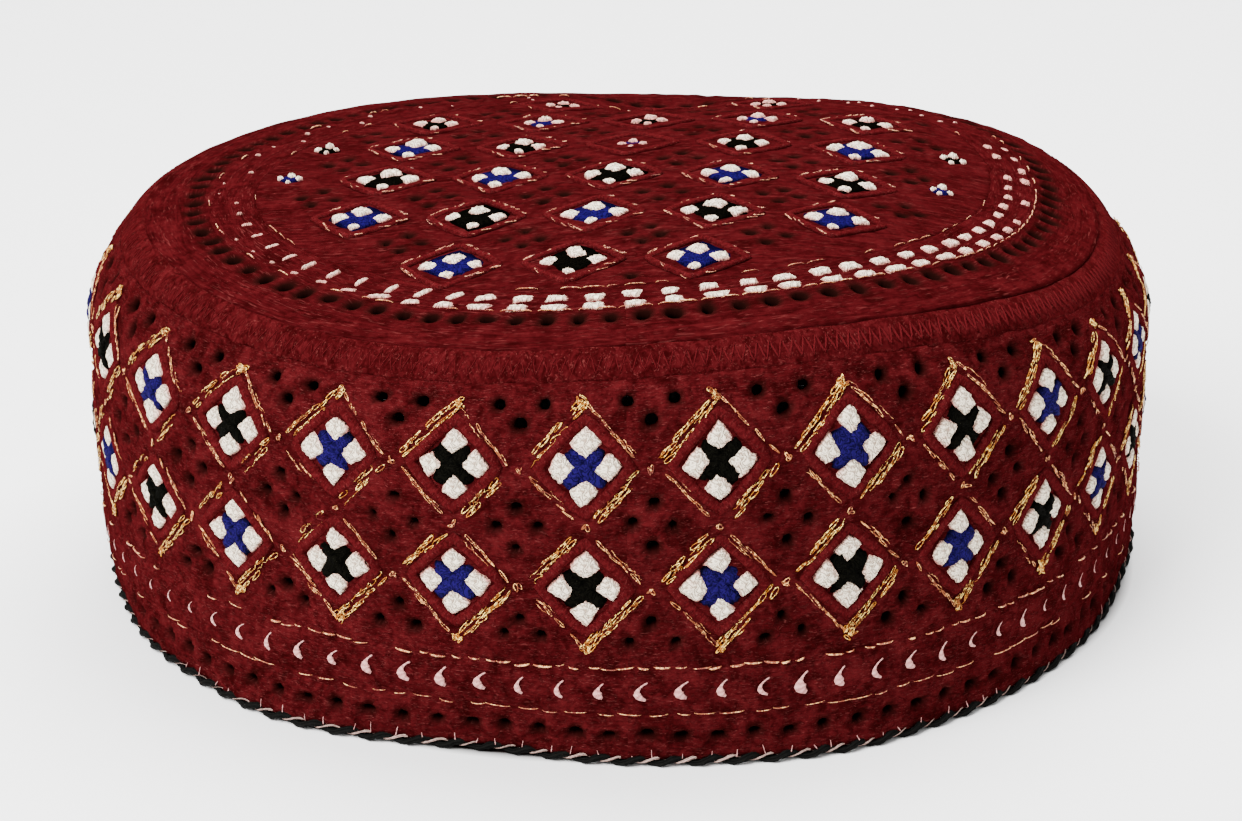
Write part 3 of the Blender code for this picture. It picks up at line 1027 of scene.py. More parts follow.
# Darker than the band's felt because the crown takes more of the top light: painted shade.
CROWN_CLOTH = FeltedThread(
    "maroon_crown_felt",
    bump=0.55,
    bump_depth=0.35 * MM,
    dark=(0.0110, 0.0007, 0.0009),
    middle=(0.0225, 0.0015, 0.0021),
    bright=(0.0370, 0.0030, 0.0038),
    fibre_glint=(0.095, 0.019, 0.018),
    length=8.0 * MM,
    width=1.1 * MM,
    streak=0.40,
)
BORDER_THREAD = FeltedThread(
    "maroon_border_satin",
    roughness=0.9,
    bump=0.6,
    dark=(0.018, 0.0010, 0.0014),
    middle=(0.036, 0.0025, 0.0034),
    bright=(0.064, 0.0058, 0.0070),
    length=0.6 * MM,
    width=0.25,
    streak=0.5,
)
SEAM_THREAD = FeltedThread(
    "maroon_seam_felt",
    roughness=0.92,
    sheen=0.03,
    bump=0.6,
    dark=(0.0120, 0.0007, 0.0009),
    middle=(0.0250, 0.0017, 0.0023),
    bright=(0.0420, 0.0036, 0.0045),
    fibre_glint=(0.110, 0.024, 0.022),
    length=1.3 * MM,
    width=0.9 * MM,
    streak=0.5,
)
STITCH_THREAD = TwistedPly(
    "maroon_stitch_thread",
    roughness=0.85,
    specular=0.0,
    colour=(0.070, 0.0062, 0.0076),
    shade=(0.024, 0.0016, 0.0022),
    lay=0.7 * MM,
)
CREAM_SATIN = SatinThread(
    "cream_satin_thread",
    roughness=0.75,
    specular=0.10,
    bump=0.9,
    bump_depth=0.5 * MM,
    waver=0.8,
)
BLUE_THREAD = SatinThread(
    "royal_blue_thread",
    roughness=0.8,
    specular=0.02,
    bump=0.9,
    colour=(0.0075, 0.0022, 0.054),
    shade=(0.0012, 0.0006, 0.008),
    edge=(0.0016, 0.0009, 0.011),
    waver=0.8,
)
BLACK_THREAD = SatinThread(
    "black_thread",
    roughness=0.75,
    specular=0.01,
    bump=0.9,
    colour=(0.0018, 0.0017, 0.0010),
    shade=(0.0003, 0.0003, 0.0002),
    edge=(0.0008, 0.0008, 0.0005),
    waver=0.8,
)
# Darker copies of the blue and black for the crown, which takes more of the top light: painted shade.
CROWN_SHADED_BLUE = replace(BLUE_THREAD, name="shaded_blue_thread", specular=0.0, colour=(0.0062, 0.0018, 0.048))
CROWN_SHADED_BLACK = replace(BLACK_THREAD, name="shaded_black_thread", specular=0.0, colour=(0.0016, 0.0014, 0.0009))
ROSE_THREAD = SatinThread(
    "rose_white_thread",
    roughness=0.75,
    specular=0.15,
    bump=0.6,
    colour=(0.74, 0.37, 0.34),
    shade=(0.28, 0.07, 0.07),
    edge=(0.34, 0.07, 0.07),
)
GOLD_THREAD = MetalThread("gold_thread", roughness=0.36, metallic=0.7, bump=0.5, bump_depth=0.10 * MM)
COPPER_THREAD = MetalThread(
    "copper_thread",
    roughness=0.45,
    metallic=0.5,
    bump=0.5,
    bump_depth=0.10 * MM,
    gold=(0.32, 0.086, 0.022),
    orange=(0.130, 0.021, 0.010),
    pale=(0.88, 0.43, 0.150),
)
CROWN_COPPER = replace(
    COPPER_THREAD,
    name="worn_copper_thread",
    gold=(0.23, 0.056, 0.024),
    orange=(0.105, 0.017, 0.012),
    pale=(0.60, 0.26, 0.13),
)
LINE_THREAD = MetalThread(
    "rose_gold_thread",
    roughness=0.5,
    metallic=0.3,
    bump=0.5,
    bump_depth=0.10 * MM,
    gold=(0.38, 0.105, 0.040),
    orange=(0.17, 0.028, 0.016),
    pale=(0.82, 0.42, 0.170),
)
BLACK_PLY = TwistedPly(
    "black_cord_ply",
    roughness=0.85,
    specular=0.06,
    bump=0.9,
    colour=(0.0024, 0.0024, 0.0020),
    shade=(0.0004, 0.0004, 0.0003),
)
WHITE_PLY = TwistedPly(
    "white_cord_ply",
    roughness=0.8,
    specular=0.15,
    bump=0.9,
    colour=(0.50, 0.33, 0.28),
    shade=(0.07, 0.028, 0.024),
)
FLOOR = PlainFloor("pale_floor", roughness=0.8, bump=0.0, specular=0.2)


# Pieces of the cap


@dataclass(frozen=True)
class Eyelets:
    """Cut eyelets of one cloth: places, half widths and half heights, all in metres along the cloth."""

    places: Array
    half_width: Array
    half_height: Array

    def snapped(self, first: Array, second: Array, around: float | None) -> tuple[Array, ...]:
        """Which grid cells the eyelets take, and the grid with its points drawn onto their edges.

        A point's distance to an eyelet is the length of its offset divided by the eyelet's half sizes. A
        cell goes where its middle is nearer than 1. Points at an open cell are drawn onto the eyelet's edge,
        where the distance is 1, and the other points near it are kept outside 1.3.

        Args:
            first: First coordinates of the grid.
            second: Second coordinates of the grid.
            around: Length after which the first coordinate repeats, or None.

        Returns:
            Kept cells, first and second coordinates, and metres to the nearest eyelet's edge.
        """
        nearest, offset = self.nearest(first, second, around)
        distance = np.linalg.norm(offset, axis=-1)
        if around is None:
            wide_first, wide_second = first, second
        else:
            wide_first = np.concatenate([first, first[:1] + around])
            wide_second = np.concatenate([second, second[:1]])
        _, middle_offset = self.nearest(cell_middles(wide_first), cell_middles(wide_second), around)
        keep = np.linalg.norm(middle_offset, axis=-1) > 1.0
        edge = self.beside_open(keep, first.shape, around is not None)
        target = np.where(edge, 1.0, np.maximum(distance, 1.3))
        drawn = offset * (target / np.maximum(distance, 1e-6))[..., None]
        near = (distance < 1.3) | edge
        half = pair(self.half_width[nearest], self.half_height[nearest])
        moved = (drawn - offset) * half * near[..., None]
        gap = (np.where(near, target, distance) - 1.0) * self.half_width[nearest]
        return keep, first + moved[..., 0], second + moved[..., 1], gap

    def nearest(self, first: Array, second: Array, around: float | None) -> tuple[Array, Array]:
        """Number of the nearest eyelet of each place, and the offset from it in the eyelet's half sizes.

        Args:
            first: First coordinates.
            second: Second coordinates.
            around: Length after which the first coordinate repeats, or None.

        Returns:
            Eyelet numbers, and offsets with a last axis of two.
        """
        found = np.zeros(first.shape, dtype=int)
        best = np.full(first.shape, np.inf)
        chosen = np.zeros((*first.shape, 2))
        count = len(self.places)
        for block in np.array_split(np.arange(count), max(1, count // 40)):
            apart_first = first[..., None] - self.places[block, 0]
            if around is not None:
                apart_first = np.remainder(apart_first + 0.5 * around, around) - 0.5 * around
            apart_first = apart_first / self.half_width[block]
            apart_second = (second[..., None] - self.places[block, 1]) / self.half_height[block]
            distance = np.hypot(apart_first, apart_second)
            pick = distance.argmin(axis=-1)
            picked = np.take_along_axis(distance, pick[..., None], axis=-1)[..., 0]
            better = picked < best
            apart = pair(apart_first, apart_second)
            offset = np.take_along_axis(apart, pick[..., None, None], axis=-2)[..., 0, :]
            best = np.where(better, picked, best)
            found = np.where(better, block[pick], found)
            chosen = np.where(better[..., None], offset, chosen)
        return found, chosen

    @staticmethod
    def beside_open(keep: Array, shape: tuple[int, ...], around: bool) -> Array:
        """Grid points that touch both a kept and an open cell.

        Args:
            keep: Which cells are cloth.
            shape: Shape of the grid's points.
            around: Whether the first axis closes on itself.

        Returns:
            One flag for each point.
        """
        pad = ((1, 1), (1, 1))
        opened = np.pad(~keep, pad, constant_values=False)
        kept = np.pad(keep, pad, constant_values=False)
        if around:
            opened[0], opened[-1] = opened[-2], opened[1]
            kept[0], kept[-1] = kept[-2], kept[1]
        touch_open = opened[:-1, :-1] | opened[1:, :-1] | opened[1:, 1:] | opened[:-1, 1:]
        touch_kept = kept[:-1, :-1] | kept[1:, :-1] | kept[1:, 1:] | kept[:-1, 1:]
        return (touch_open & touch_kept)[: shape[0], : shape[1]]


def around_eyelet(gap: Array, rim: float, dip: float) -> Array:
    """Relief round an eyelet: the cloth dips towards its edge and swells in a low ring a millimetre off."""
    return rim * bell(gap - 1.1 * MM, 0.55 * MM) - dip * bell(gap, 0.50 * MM)


def eyelet_shade(gap: Array, depth: float = 0.65, reach: float = 0.40 * MM) -> Array:
    """Tone of the shadowed thread at an eyelet's edge, gone within about twice the reach."""
    return depth * bell(gap, reach)


@dataclass
class Pattern:
    """The band's repeat: columns of squares, their rows and the eyelets between them."""

    skin: BandSkin
    columns: int = 28
    first_column: float = -0.314
    upper_height: float = 0.0505
    lower_height: float = 0.0307
    top_pair_height: float = 0.0598
    top_single_height: float = 0.0570
    top_from: float = 0.055
    rim_eyelets: int = 102
    crescents: int = 91
    seed: int = 11

    @property
    def pitch(self) -> float:
        """Distance between columns."""
        return self.skin.length / self.columns

    def column_place(self, column: Array) -> Array:
        """Distance along the outline of a column."""
        return (self.first_column + column) * self.pitch

    def squares(self) -> tuple[Array, Array, Array]:
        """Middles of all squares, whether each is in the upper row, and whether its cross is blue."""
        column = np.arange(self.columns)
        along = self.column_place(column)
        upper = pair(along, np.full(self.columns, self.skin.up_at(self.upper_height)))
        lower = pair(along, np.full(self.columns, self.skin.up_at(self.lower_height)))
        blue_upper = column % 2 == 0
        row = np.repeat([True, False], self.columns)
        return np.concatenate([upper, lower]), row, np.concatenate([blue_upper, ~blue_upper])

    def eyelets(self) -> Eyelets:
        """Eyelets in the upper and lower valleys, the gaps of the lattice and the row above the rim."""
        rng = np.random.default_rng(self.seed)
        valley = self.column_place(np.arange(self.columns) + 0.5)
        upper_pair = self.skin.up_at(self.top_pair_height)
        upper_low = self.skin.up_at(self.top_single_height)
        middle = 0.5 * (self.skin.up_at(self.upper_height) + self.skin.up_at(self.lower_height))
        lower = self.skin.up_at(self.lower_height)
        side = 0.18 * self.pitch
        spots = (
            (-side, upper_pair, 1.12),
            (side, upper_pair, 1.12),
            (0.0, upper_low, 1.18),
            (0.0, middle + 3.5 * MM, 0.95),
            (0.0, middle - 3.5 * MM, 0.95),
            (-3.3 * MM, middle + 0.2 * MM, 0.92),
            (3.3 * MM, middle - 0.2 * MM, 0.92),
            (0.0, lower - 6.0 * MM, 1.02),
            (-3.1 * MM, lower - 8.9 * MM, 0.98),
            (3.1 * MM, lower - 8.9 * MM, 0.98),
        )
        places, half = [], []
        for shift, up, size in spots:
            fixed = up > self.skin.up_at(self.top_from)
            loose = 0.0 if fixed else 0.55 * MM
            jitter = shake(rng, loose, (self.columns, 2))
            places.append(pair(valley + shift, np.full(self.columns, up)) + jitter)
            spread = (0.90, 1.10) if fixed else (0.72, 1.15)
            half.append(size * MM * rng.uniform(*spread, (self.columns, 2)))
        count = self.rim_eyelets
        rim_place = (np.arange(count) + 0.5) * self.skin.length / count
        places.append(pair(rim_place, np.full(count, 5.4 * MM)) + shake(rng, 0.2 * MM, (count, 2)))
        wide = rng.uniform(1.00, 1.35, count) * MM
        half.append(pair(wide, rng.uniform(0.70, 0.92, count) * MM))
        sizes = np.concatenate(half)
        return Eyelets(np.concatenate(places), sizes[:, 0], sizes[:, 1])


@dataclass
class SideBand:
    """The band's cloth, a closed wall with its eyelets cut through."""

    pattern: Pattern
    cell: float = 0.875 * MM
    foot: float = 1.35 * MM
    eyelet_rim: float = 0.25 * MM
    eyelet_dip: float = 0.40 * MM
    slope: float = 0.75 * MM
    strip_middle: float = 13.3 * MM
    strip_half: float = 3.8 * MM
    grooves: tuple[float, float] = (9.3 * MM, 17.3 * MM)

    def build(self) -> bpy.types.Object:
        """Make the wall and its finish."""
        skin = self.pattern.skin
        columns = self.pattern.columns * round(self.pattern.pitch / self.cell)
        top = float(skin.up_at(skin.form.band_top))
        rows = round((top - self.foot) / self.cell) + 1
        along = np.arange(columns) * skin.length / columns
        up = np.linspace(self.foot, top, rows)
        first, second = np.meshgrid(along, up, indexing="ij")
        keep, first, second, gap = self.pattern.eyelets().snapped(first, second, skin.length)
        points, _, upward, out = skin.frame(first, second)
        relief = self.relief(first, second) + around_eyelet(gap, self.eyelet_rim, self.eyelet_dip)
        outer = points + out * relief[..., None]
        slope = -self.slope * np.sin(skin.angle_at(first)) * bell(gap, 1.2 * MM)
        inner = points - out * skin.form.cloth + upward * slope[..., None]
        wide_first = np.concatenate([first, first[:1] + skin.length])
        wide_second = np.concatenate([second, second[:1]])
        places = pair(wide_first, wide_second)
        wall = without_loose(pierced_wall(outer, inner, keep, places, True, eyelet_shade(gap)))
        return add_piece("band_cloth", wall, BAND_CLOTH, replaces=("side_band",))

    def relief(self, first: Array, second: Array) -> Array:
        """Lumps of the worked cloth at two sizes, calmer on the raised strip of the lower border.

        The running lines draw the cloth in as grooves, and it puckers between the crescents and between the
        eyelets of the lowest row.

        Args:
            first: Distance along the outline.
            second: Length up the profile.

        Returns:
            Heights above the plain surface.
        """
        skin = self.pattern.skin
        length = skin.length
        small = 0.24 * MM * lumps(first, second, 1.9 * MM, 1, length)
        large = 0.18 * MM * lumps(first, second, 5.5 * MM, 2, length)
        strip = 1.0 / (1.0 + np.exp((np.abs(second - self.strip_middle) - self.strip_half) / (0.35 * MM)))
        groove = sum(bell(second - up, 0.55 * MM) for up in self.grooves)
        turns = first / length
        pucker = np.cos(math.tau * self.pattern.rim_eyelets * turns) * bell(second - 4.4 * MM, 2.3 * MM)
        between = np.cos(math.tau * (self.pattern.crescents * turns - 0.3))
        between = between * bell(second - self.strip_middle, 2.2 * MM)
        rise = 0.45 * bell(skin.up_at(skin.form.band_top) - second, 1.3 * MM)
        worked = rise + 0.40 * strip - 0.32 * groove + 0.24 * pucker - 0.16 * between
        return (small + large) * (1.0 - 0.4 * strip) + worked * MM


class Chain(Enum):
    """How many rows of chain stitch lie side by side along a diamond's side."""

    SINGLE = 1
    DOUBLE = 2


@dataclass(frozen=True)
class Side:
    """One side of a gold diamond: its end corners in half sizes, the stretch that is worked, its chain."""

    start: tuple[float, float]
    end: tuple[float, float]
    begin: float
    finish: float
    chain: Chain


@dataclass
class SquareWork:
    """Embroidery of squares on a corner: satin blocks, crosses, borders and chain-stitched diamonds."""

    skin: Skin
    seed: int
    block_half: float = 2.00 * MM
    block_reach: float = 3.66 * MM
    block_height: float = 0.72 * MM
    block_turned: float = 0.17
    block_sizes: tuple[float, ...] = (1.0, 1.04, 1.0, 1.04)
    block_reaches: tuple[float, ...] = (1.0, 1.05, 1.0, 1.05)
    block_rises: tuple[float, ...] = (1.0, 1.0, 1.0, 1.0)
    arm_half_length: float = 4.35 * MM
    arm_half_width: float = 1.28 * MM
    arm_height: float = 0.85 * MM
    pad_half: float = 4.15 * MM
    pad_height: float = 0.42 * MM
    pad_shift: float = 0.0
    # Strength of the painted shadow on the far corner of each pad.
    pad_far_shadow: float = 0.0
    border_reach: float = 7.35 * MM
    border_radius: float = 0.98 * MM
    chain_half_width: float = 9.5 * MM
    chain_half_height: float = 10.2 * MM
    link_length: float = 2.10 * MM
    link_width: float = 0.60 * MM
    link_pitch: float = 1.60 * MM
    link_radius: float = 0.085 * MM
    chain_gap: float = 1.05 * MM
    link_share: float = 0.82

    def __post_init__(self) -> None:
        """Start the seeded irregularity."""
        self.rng = np.random.default_rng(self.seed)

    @staticmethod
    def turned(vectors: Array, angle: Array | float) -> Array:
        """Two-part vectors turned by an angle."""
        x, y = vectors[..., 0], vectors[..., 1]
        cos, sin = np.cos(angle), np.sin(angle)
        return pair(x * cos - y * sin, x * sin + y * cos)

    def blocks(self, middles: Array, turn: float, kept: Array | None = None, grid: int = 9) -> Patch:
        """Four satin blocks to a square, one in each corner.

        Args:
            middles: Middles of the squares.
            turn: Turn of the pattern.
            kept: Share of its thread that each square has kept, or None for all.
            grid: Points along a block's side.

        Returns:
            The blocks as one patch.
        """
        count = len(middles)
        corner = np.arange(4) * 0.5 * math.pi
        left = np.ones(count) if kept is None else kept
        size = 0.45 + 0.55 * left
        reach = self.block_reach * np.array(self.block_reaches) * self.rng.uniform(0.95, 1.06, (count, 4))
        reach = reach * size[:, None]
        offset = pair(np.cos(corner) * reach, np.sin(corner) * reach)
        offset = offset + shake(self.rng, 0.25 * MM, offset.shape)
        centre = middles[:, None] + self.turned(offset, turn)
        lean = turn + 0.25 * math.pi + shake(self.rng, self.block_turned, (count, 4))
        sizes = np.array(self.block_sizes)[:, None] * size[:, None, None]
        half = self.block_half * sizes * self.rng.uniform(0.82, 1.14, (count, 4, 2))
        ahead, aside = axes(lean)
        left = np.repeat(left, 4)
        rises = np.tile(self.block_rises, count) * (0.5 + 0.5 * left)
        height = self.block_height * rises * self.rng.uniform(0.85, 1.15, count * 4)
        ripple = shake(self.rng, 0.20, (count * 4, grid, grid))
        skew = shake(self.rng, 0.26, (count * 4, 2))
        fray = shake(self.rng, 0.075, (count * 4, grid, grid, 2))
        patch = cushions(
            self.skin,
            centre.reshape(-1, 2),
            (ahead * half[..., :1]).reshape(-1, 2),
            (aside * half[..., 1:]).reshape(-1, 2),
            height,
            (grid, grid),
            0.25 * MM,
            0.26,
            ripple,
            skew,
            fray,
        )
        patch.tone = patch.tone + np.repeat(0.8 * (1.0 - left), grid * grid)
        return patch

    def crosses(self, middles: Array, turn: float, kept: Array | None = None) -> Patch:
        """Two crossing bars to a square, smaller where less of the thread is kept, on a flat pad.

        Args:
            middles: Middles of the squares.
            turn: Turn of the pattern.
            kept: Share of its thread that each square has kept, or None for all.

        Returns:
            The bars and pads as one patch.
        """
        count = len(middles)
        left = np.ones(count) if kept is None else kept
        patches = []
        grid = (13, 5)
        for which, base in enumerate((0.25 * math.pi, 0.75 * math.pi)):
            lean = turn + base + shake(self.rng, 0.10, count)
            long = self.arm_half_length * self.rng.uniform(0.94, 1.04, count) * (0.3 + 0.7 * left)
            wide = self.arm_half_width * self.rng.uniform(0.75, 1.20, count) * (0.3 + 0.7 * left)
            ahead, aside = axes(lean)
            first, second = ahead * long[:, None], aside * wide[:, None]
            centre = middles + shake(self.rng, 0.28 * MM, middles.shape)
            ripple = shake(self.rng, 0.26, (count, *grid))
            height = self.arm_height * (1.0 + 0.12 * which) * (0.3 + 0.7 * left)
            skew = pair(shake(self.rng, 0.05, count), shake(self.rng, 0.50, count))
            fray = self.rng.uniform([-0.03, -0.20], [0.03, 0.20], (count, *grid, 2))
            stitch = (centre, first, second, height, grid, 0.25 * MM, 0.45, ripple, skew, fray)
            patches.append(cushions(self.skin, *stitch))
        patches.append(self.pads(middles, turn, left))
        return joined(patches)

    def pads(self, middles: Array, turn: float, left: Array, grid: int = 7) -> Patch:
        """A flat pad in the cross's colour under each square, with painted shadow towards its far corner.

        Args:
            middles: Middles of the squares.
            turn: Turn of the pattern.
            left: Share of its thread that each square has kept.
            grid: Points along a pad's side.

        Returns:
            The pads as one patch.
        """
        count = len(middles)
        half = (self.pad_half * (0.25 + 0.75 * left))[:, None]
        first, second = (half * axis for axis in axes(turn + 0.25 * math.pi))
        middles = middles + self.turned(np.array([0.0, self.pad_shift]), turn)
        fray = shake(self.rng, 0.04, (count, grid, grid, 2))
        height = self.pad_height * (0.3 + 0.7 * left)
        stitch = (middles, first, second, height, (grid, grid), 0.2 * MM, 0.1, 0.0, None, fray)
        patch = cushions(self.skin, *stitch)
        side = np.linspace(-1.0, 1.0, grid)
        # Painted shadow: the tone grows towards the far corner, turning the pad to its thread's dark edge
        # colour.
        far_shadow = np.clip(side[:, None] + side, 0.0, 1.0).reshape(-1)
        patch.tone = patch.tone + self.pad_far_shadow * np.tile(far_shadow, count)
        return patch

    def borders(self, middles: Array, turn: float, points: int = 32) -> Patch:
        """A raised border round each square: a flattened tube along a diamond with rounded corners.

        Args:
            middles: Middles of the squares.
            turn: Turn of the pattern.
            points: Points round a border.

        Returns:
            The borders as one patch.
        """
        count = len(middles)
        t = np.arange(points) * math.tau / points
        power = 1.12
        size = (np.abs(np.cos(t)) ** power + np.abs(np.sin(t)) ** power) ** (-1.0 / power)
        path = pair(np.cos(t) * size, np.sin(t) * size) * self.border_reach
        path = path * self.rng.uniform(0.97, 1.03, (count, 1, 2))
        path = path + shake(self.rng, 0.08 * MM, (count, points, 2))
        path = middles[:, None] + self.turned(path, turn)
        centre, _, _, out = self.skin.frame(path[..., 0], path[..., 1])
        radius = self.border_radius * self.rng.uniform(0.92, 1.08, (count, points))
        return tubes(centre + out * 0.05 * MM, out, radius, 6, closed=True, flat=0.66)

    def chains(
        self, middles: Array, turn: float, sides: tuple[Side, ...], kept: Array | None = None
    ) -> Patch:
        """Chain stitch along the sides of each diamond: rows of pointed loops that lap over each other.

        Args:
            middles: Middles of the diamonds.
            turn: Turn of the pattern.
            sides: The sides to work.
            kept: Share of its loops that each diamond has kept, or None for all.

        Returns:
            The loops as one patch.
        """
        half = np.array([self.chain_half_width, self.chain_half_height])
        centres, angles = [], []
        for side in sides:
            start, end = np.array(side.start) * half, np.array(side.end) * half
            direction = (end - start) / np.linalg.norm(end - start)
            outward = np.array([direction[1], -direction[0]])
            outward = outward * np.sign(outward @ (start + end))
            length = np.linalg.norm(end - start) * (side.finish - side.begin)
            links = max(1, round(length / self.link_pitch))
            share = side.begin + (side.finish - side.begin) * (np.arange(links) + 0.5) / links
            for chain in range(side.chain.value):
                shift = outward * self.chain_gap * (chain - 0.5 * (side.chain.value - 1))
                centres.append(start + share[:, None] * (end - start) + shift)
                angles.append(np.full(links, math.atan2(direction[1], direction[0])))
        centre = np.concatenate(centres)
        angle = np.concatenate(angles)
        count = len(middles)
        shape = (count, len(centre))
        place = middles[:, None] + self.turned(centre, turn) + shake(self.rng, 0.20 * MM, (*shape, 2))
        lean = turn + angle[None] + shake(self.rng, 0.18, shape)
        share = self.link_share * (np.ones(count) if kept is None else kept)
        worked = self.rng.random(shape) < share[:, None]
        return self.loops(place[worked], lean[worked])

    def loops(self, place: Array, lean: Array, points: int = 10) -> Patch:
        """Pointed loops of thread at given places and leanings.

        Args:
            place: Middles of the loops.
            lean: Angle of each loop.
            points: Points round a loop.

        Returns:
            The loops as one patch.
        """
        count = len(place)
        t = np.arange(points) * math.tau / points
        long = 0.5 * self.link_length * self.rng.uniform(0.88, 1.14, (count, 1))
        wide = 0.5 * self.link_width * self.rng.uniform(0.35, 1.25, (count, 1))
        loop = pair(long * np.cos(t), wide * np.sin(t) * (1.0 - 0.35 * np.cos(t)))
        loop = place[:, None] + self.turned(loop, lean[:, None])
        rise = 0.26 * MM + 0.16 * MM * np.cos(t) + self.rng.uniform(-0.12 * MM, 0.22 * MM, (count, 1))
        centre, _, _, out = self.skin.frame(loop[..., 0], loop[..., 1])
        radius = self.link_radius * self.rng.uniform(0.50, 1.45, (count, points))
        return tubes(centre + out * rise[..., None], out, radius, 4, closed=True)

    def strands(
        self, middles: Array, turn: float, sides: tuple[Side, ...], each: int = 4, points: int = 9
    ) -> Patch:
        """Loose bright strands that lie along the chained sides, wavering across them.

        Args:
            middles: Middles of the diamonds.
            turn: Turn of the pattern.
            sides: The sides they lie along.
            each: Strands to a side.
            points: Points along a strand.

        Returns:
            The strands as one patch.
        """
        half = np.array([self.chain_half_width, self.chain_half_height])
        t = np.linspace(-1.0, 1.0, points)
        patches = []
        for side in sides:
            start, end = np.array(side.start) * half, np.array(side.end) * half
            across = np.array([end[1] - start[1], start[0] - end[0]]) / np.linalg.norm(end - start)
            shape = (len(middles), each)
            long = self.rng.uniform(0.06, 0.20, shape)
            where = self.rng.uniform(side.begin + 0.12, side.finish - 0.12, shape)
            sway = shake(self.rng, 0.85 * MM, shape)[..., None]
            sway = sway + self.rng.normal(0.0, 0.10 * MM, (*shape, points))
            share = where[..., None] + long[..., None] * t
            path = start + share[..., None] * (end - start) + sway[..., None] * across
            path = (middles[:, None, None] + self.turned(path, turn)).reshape(-1, points, 2)
            centre, _, _, out = self.skin.frame(path[..., 0], path[..., 1])
            rise = (0.52 - 0.22 * t**4) * MM + self.rng.uniform(-0.08 * MM, 0.10 * MM, (len(path), 1))
            radius = self.rng.uniform(0.04 * MM, 0.085 * MM, (len(path), 1)) * (1.0 - 0.5 * t**4)
            patches.append(tubes(centre + out * rise[..., None], out, radius, 4, closed=False))
        return joined(patches)

    def knots(self, place: Array, loops: int, spread: float) -> Patch:
        """A few small loops heaped at each place."""
        count = len(place)
        spot = place[:, None] + self.rng.normal(0.0, spread, (count, loops, 2))
        lean = self.rng.uniform(0.0, math.tau, count * loops)
        return self.loops(spot.reshape(-1, 2), lean)


CORNERS = ((-1.0, 0.0), (0.0, 1.0), (1.0, 0.0), (0.0, -1.0))


def diamond(*sides: tuple[float, float, Chain]) -> tuple[Side, ...]:
    """The sides of a diamond, clockwise from its left corner, each with the share worked and its chain."""
    return tuple(Side(CORNERS[k], CORNERS[(k + 1) % 4], *side) for k, side in enumerate(sides))


UPPER_SIDES = diamond(
    (0.10, 0.99, Chain.DOUBLE),
    (0.03, 0.92, Chain.SINGLE),
    (0.10, 0.80, Chain.DOUBLE),
    (0.20, 0.86, Chain.SINGLE),
)
LOWER_SIDES = diamond(
    (0.12, 0.82, Chain.DOUBLE),
    (0.22, 0.90, Chain.SINGLE),
    (0.10, 0.99, Chain.DOUBLE),
    (0.03, 0.90, Chain.SINGLE),
)
CROWN_SIDES = diamond(*[(0.10, 0.88, Chain.SINGLE)] * 4)


def unworn(angle: Array, right: float, left: float, least: float) -> Array:
    """Share of a worn stitch that is left: 1 over the photographed front, falling to the least beside it.

    Args:
        angle: Angle round the cap.
        right: Angle where the wear is half way, towards the right.
        left: Angle where the wear is half way, towards the left.
        least: Share that is left at the sides and behind.

    Returns:
        One share for each angle.
    """
    turned = wrapped(angle)
    front = 1.0 / (1.0 + np.exp((turned - right) / 0.09)) / (1.0 + np.exp((left - turned) / 0.09))
    return least + (1.0 - least) * front


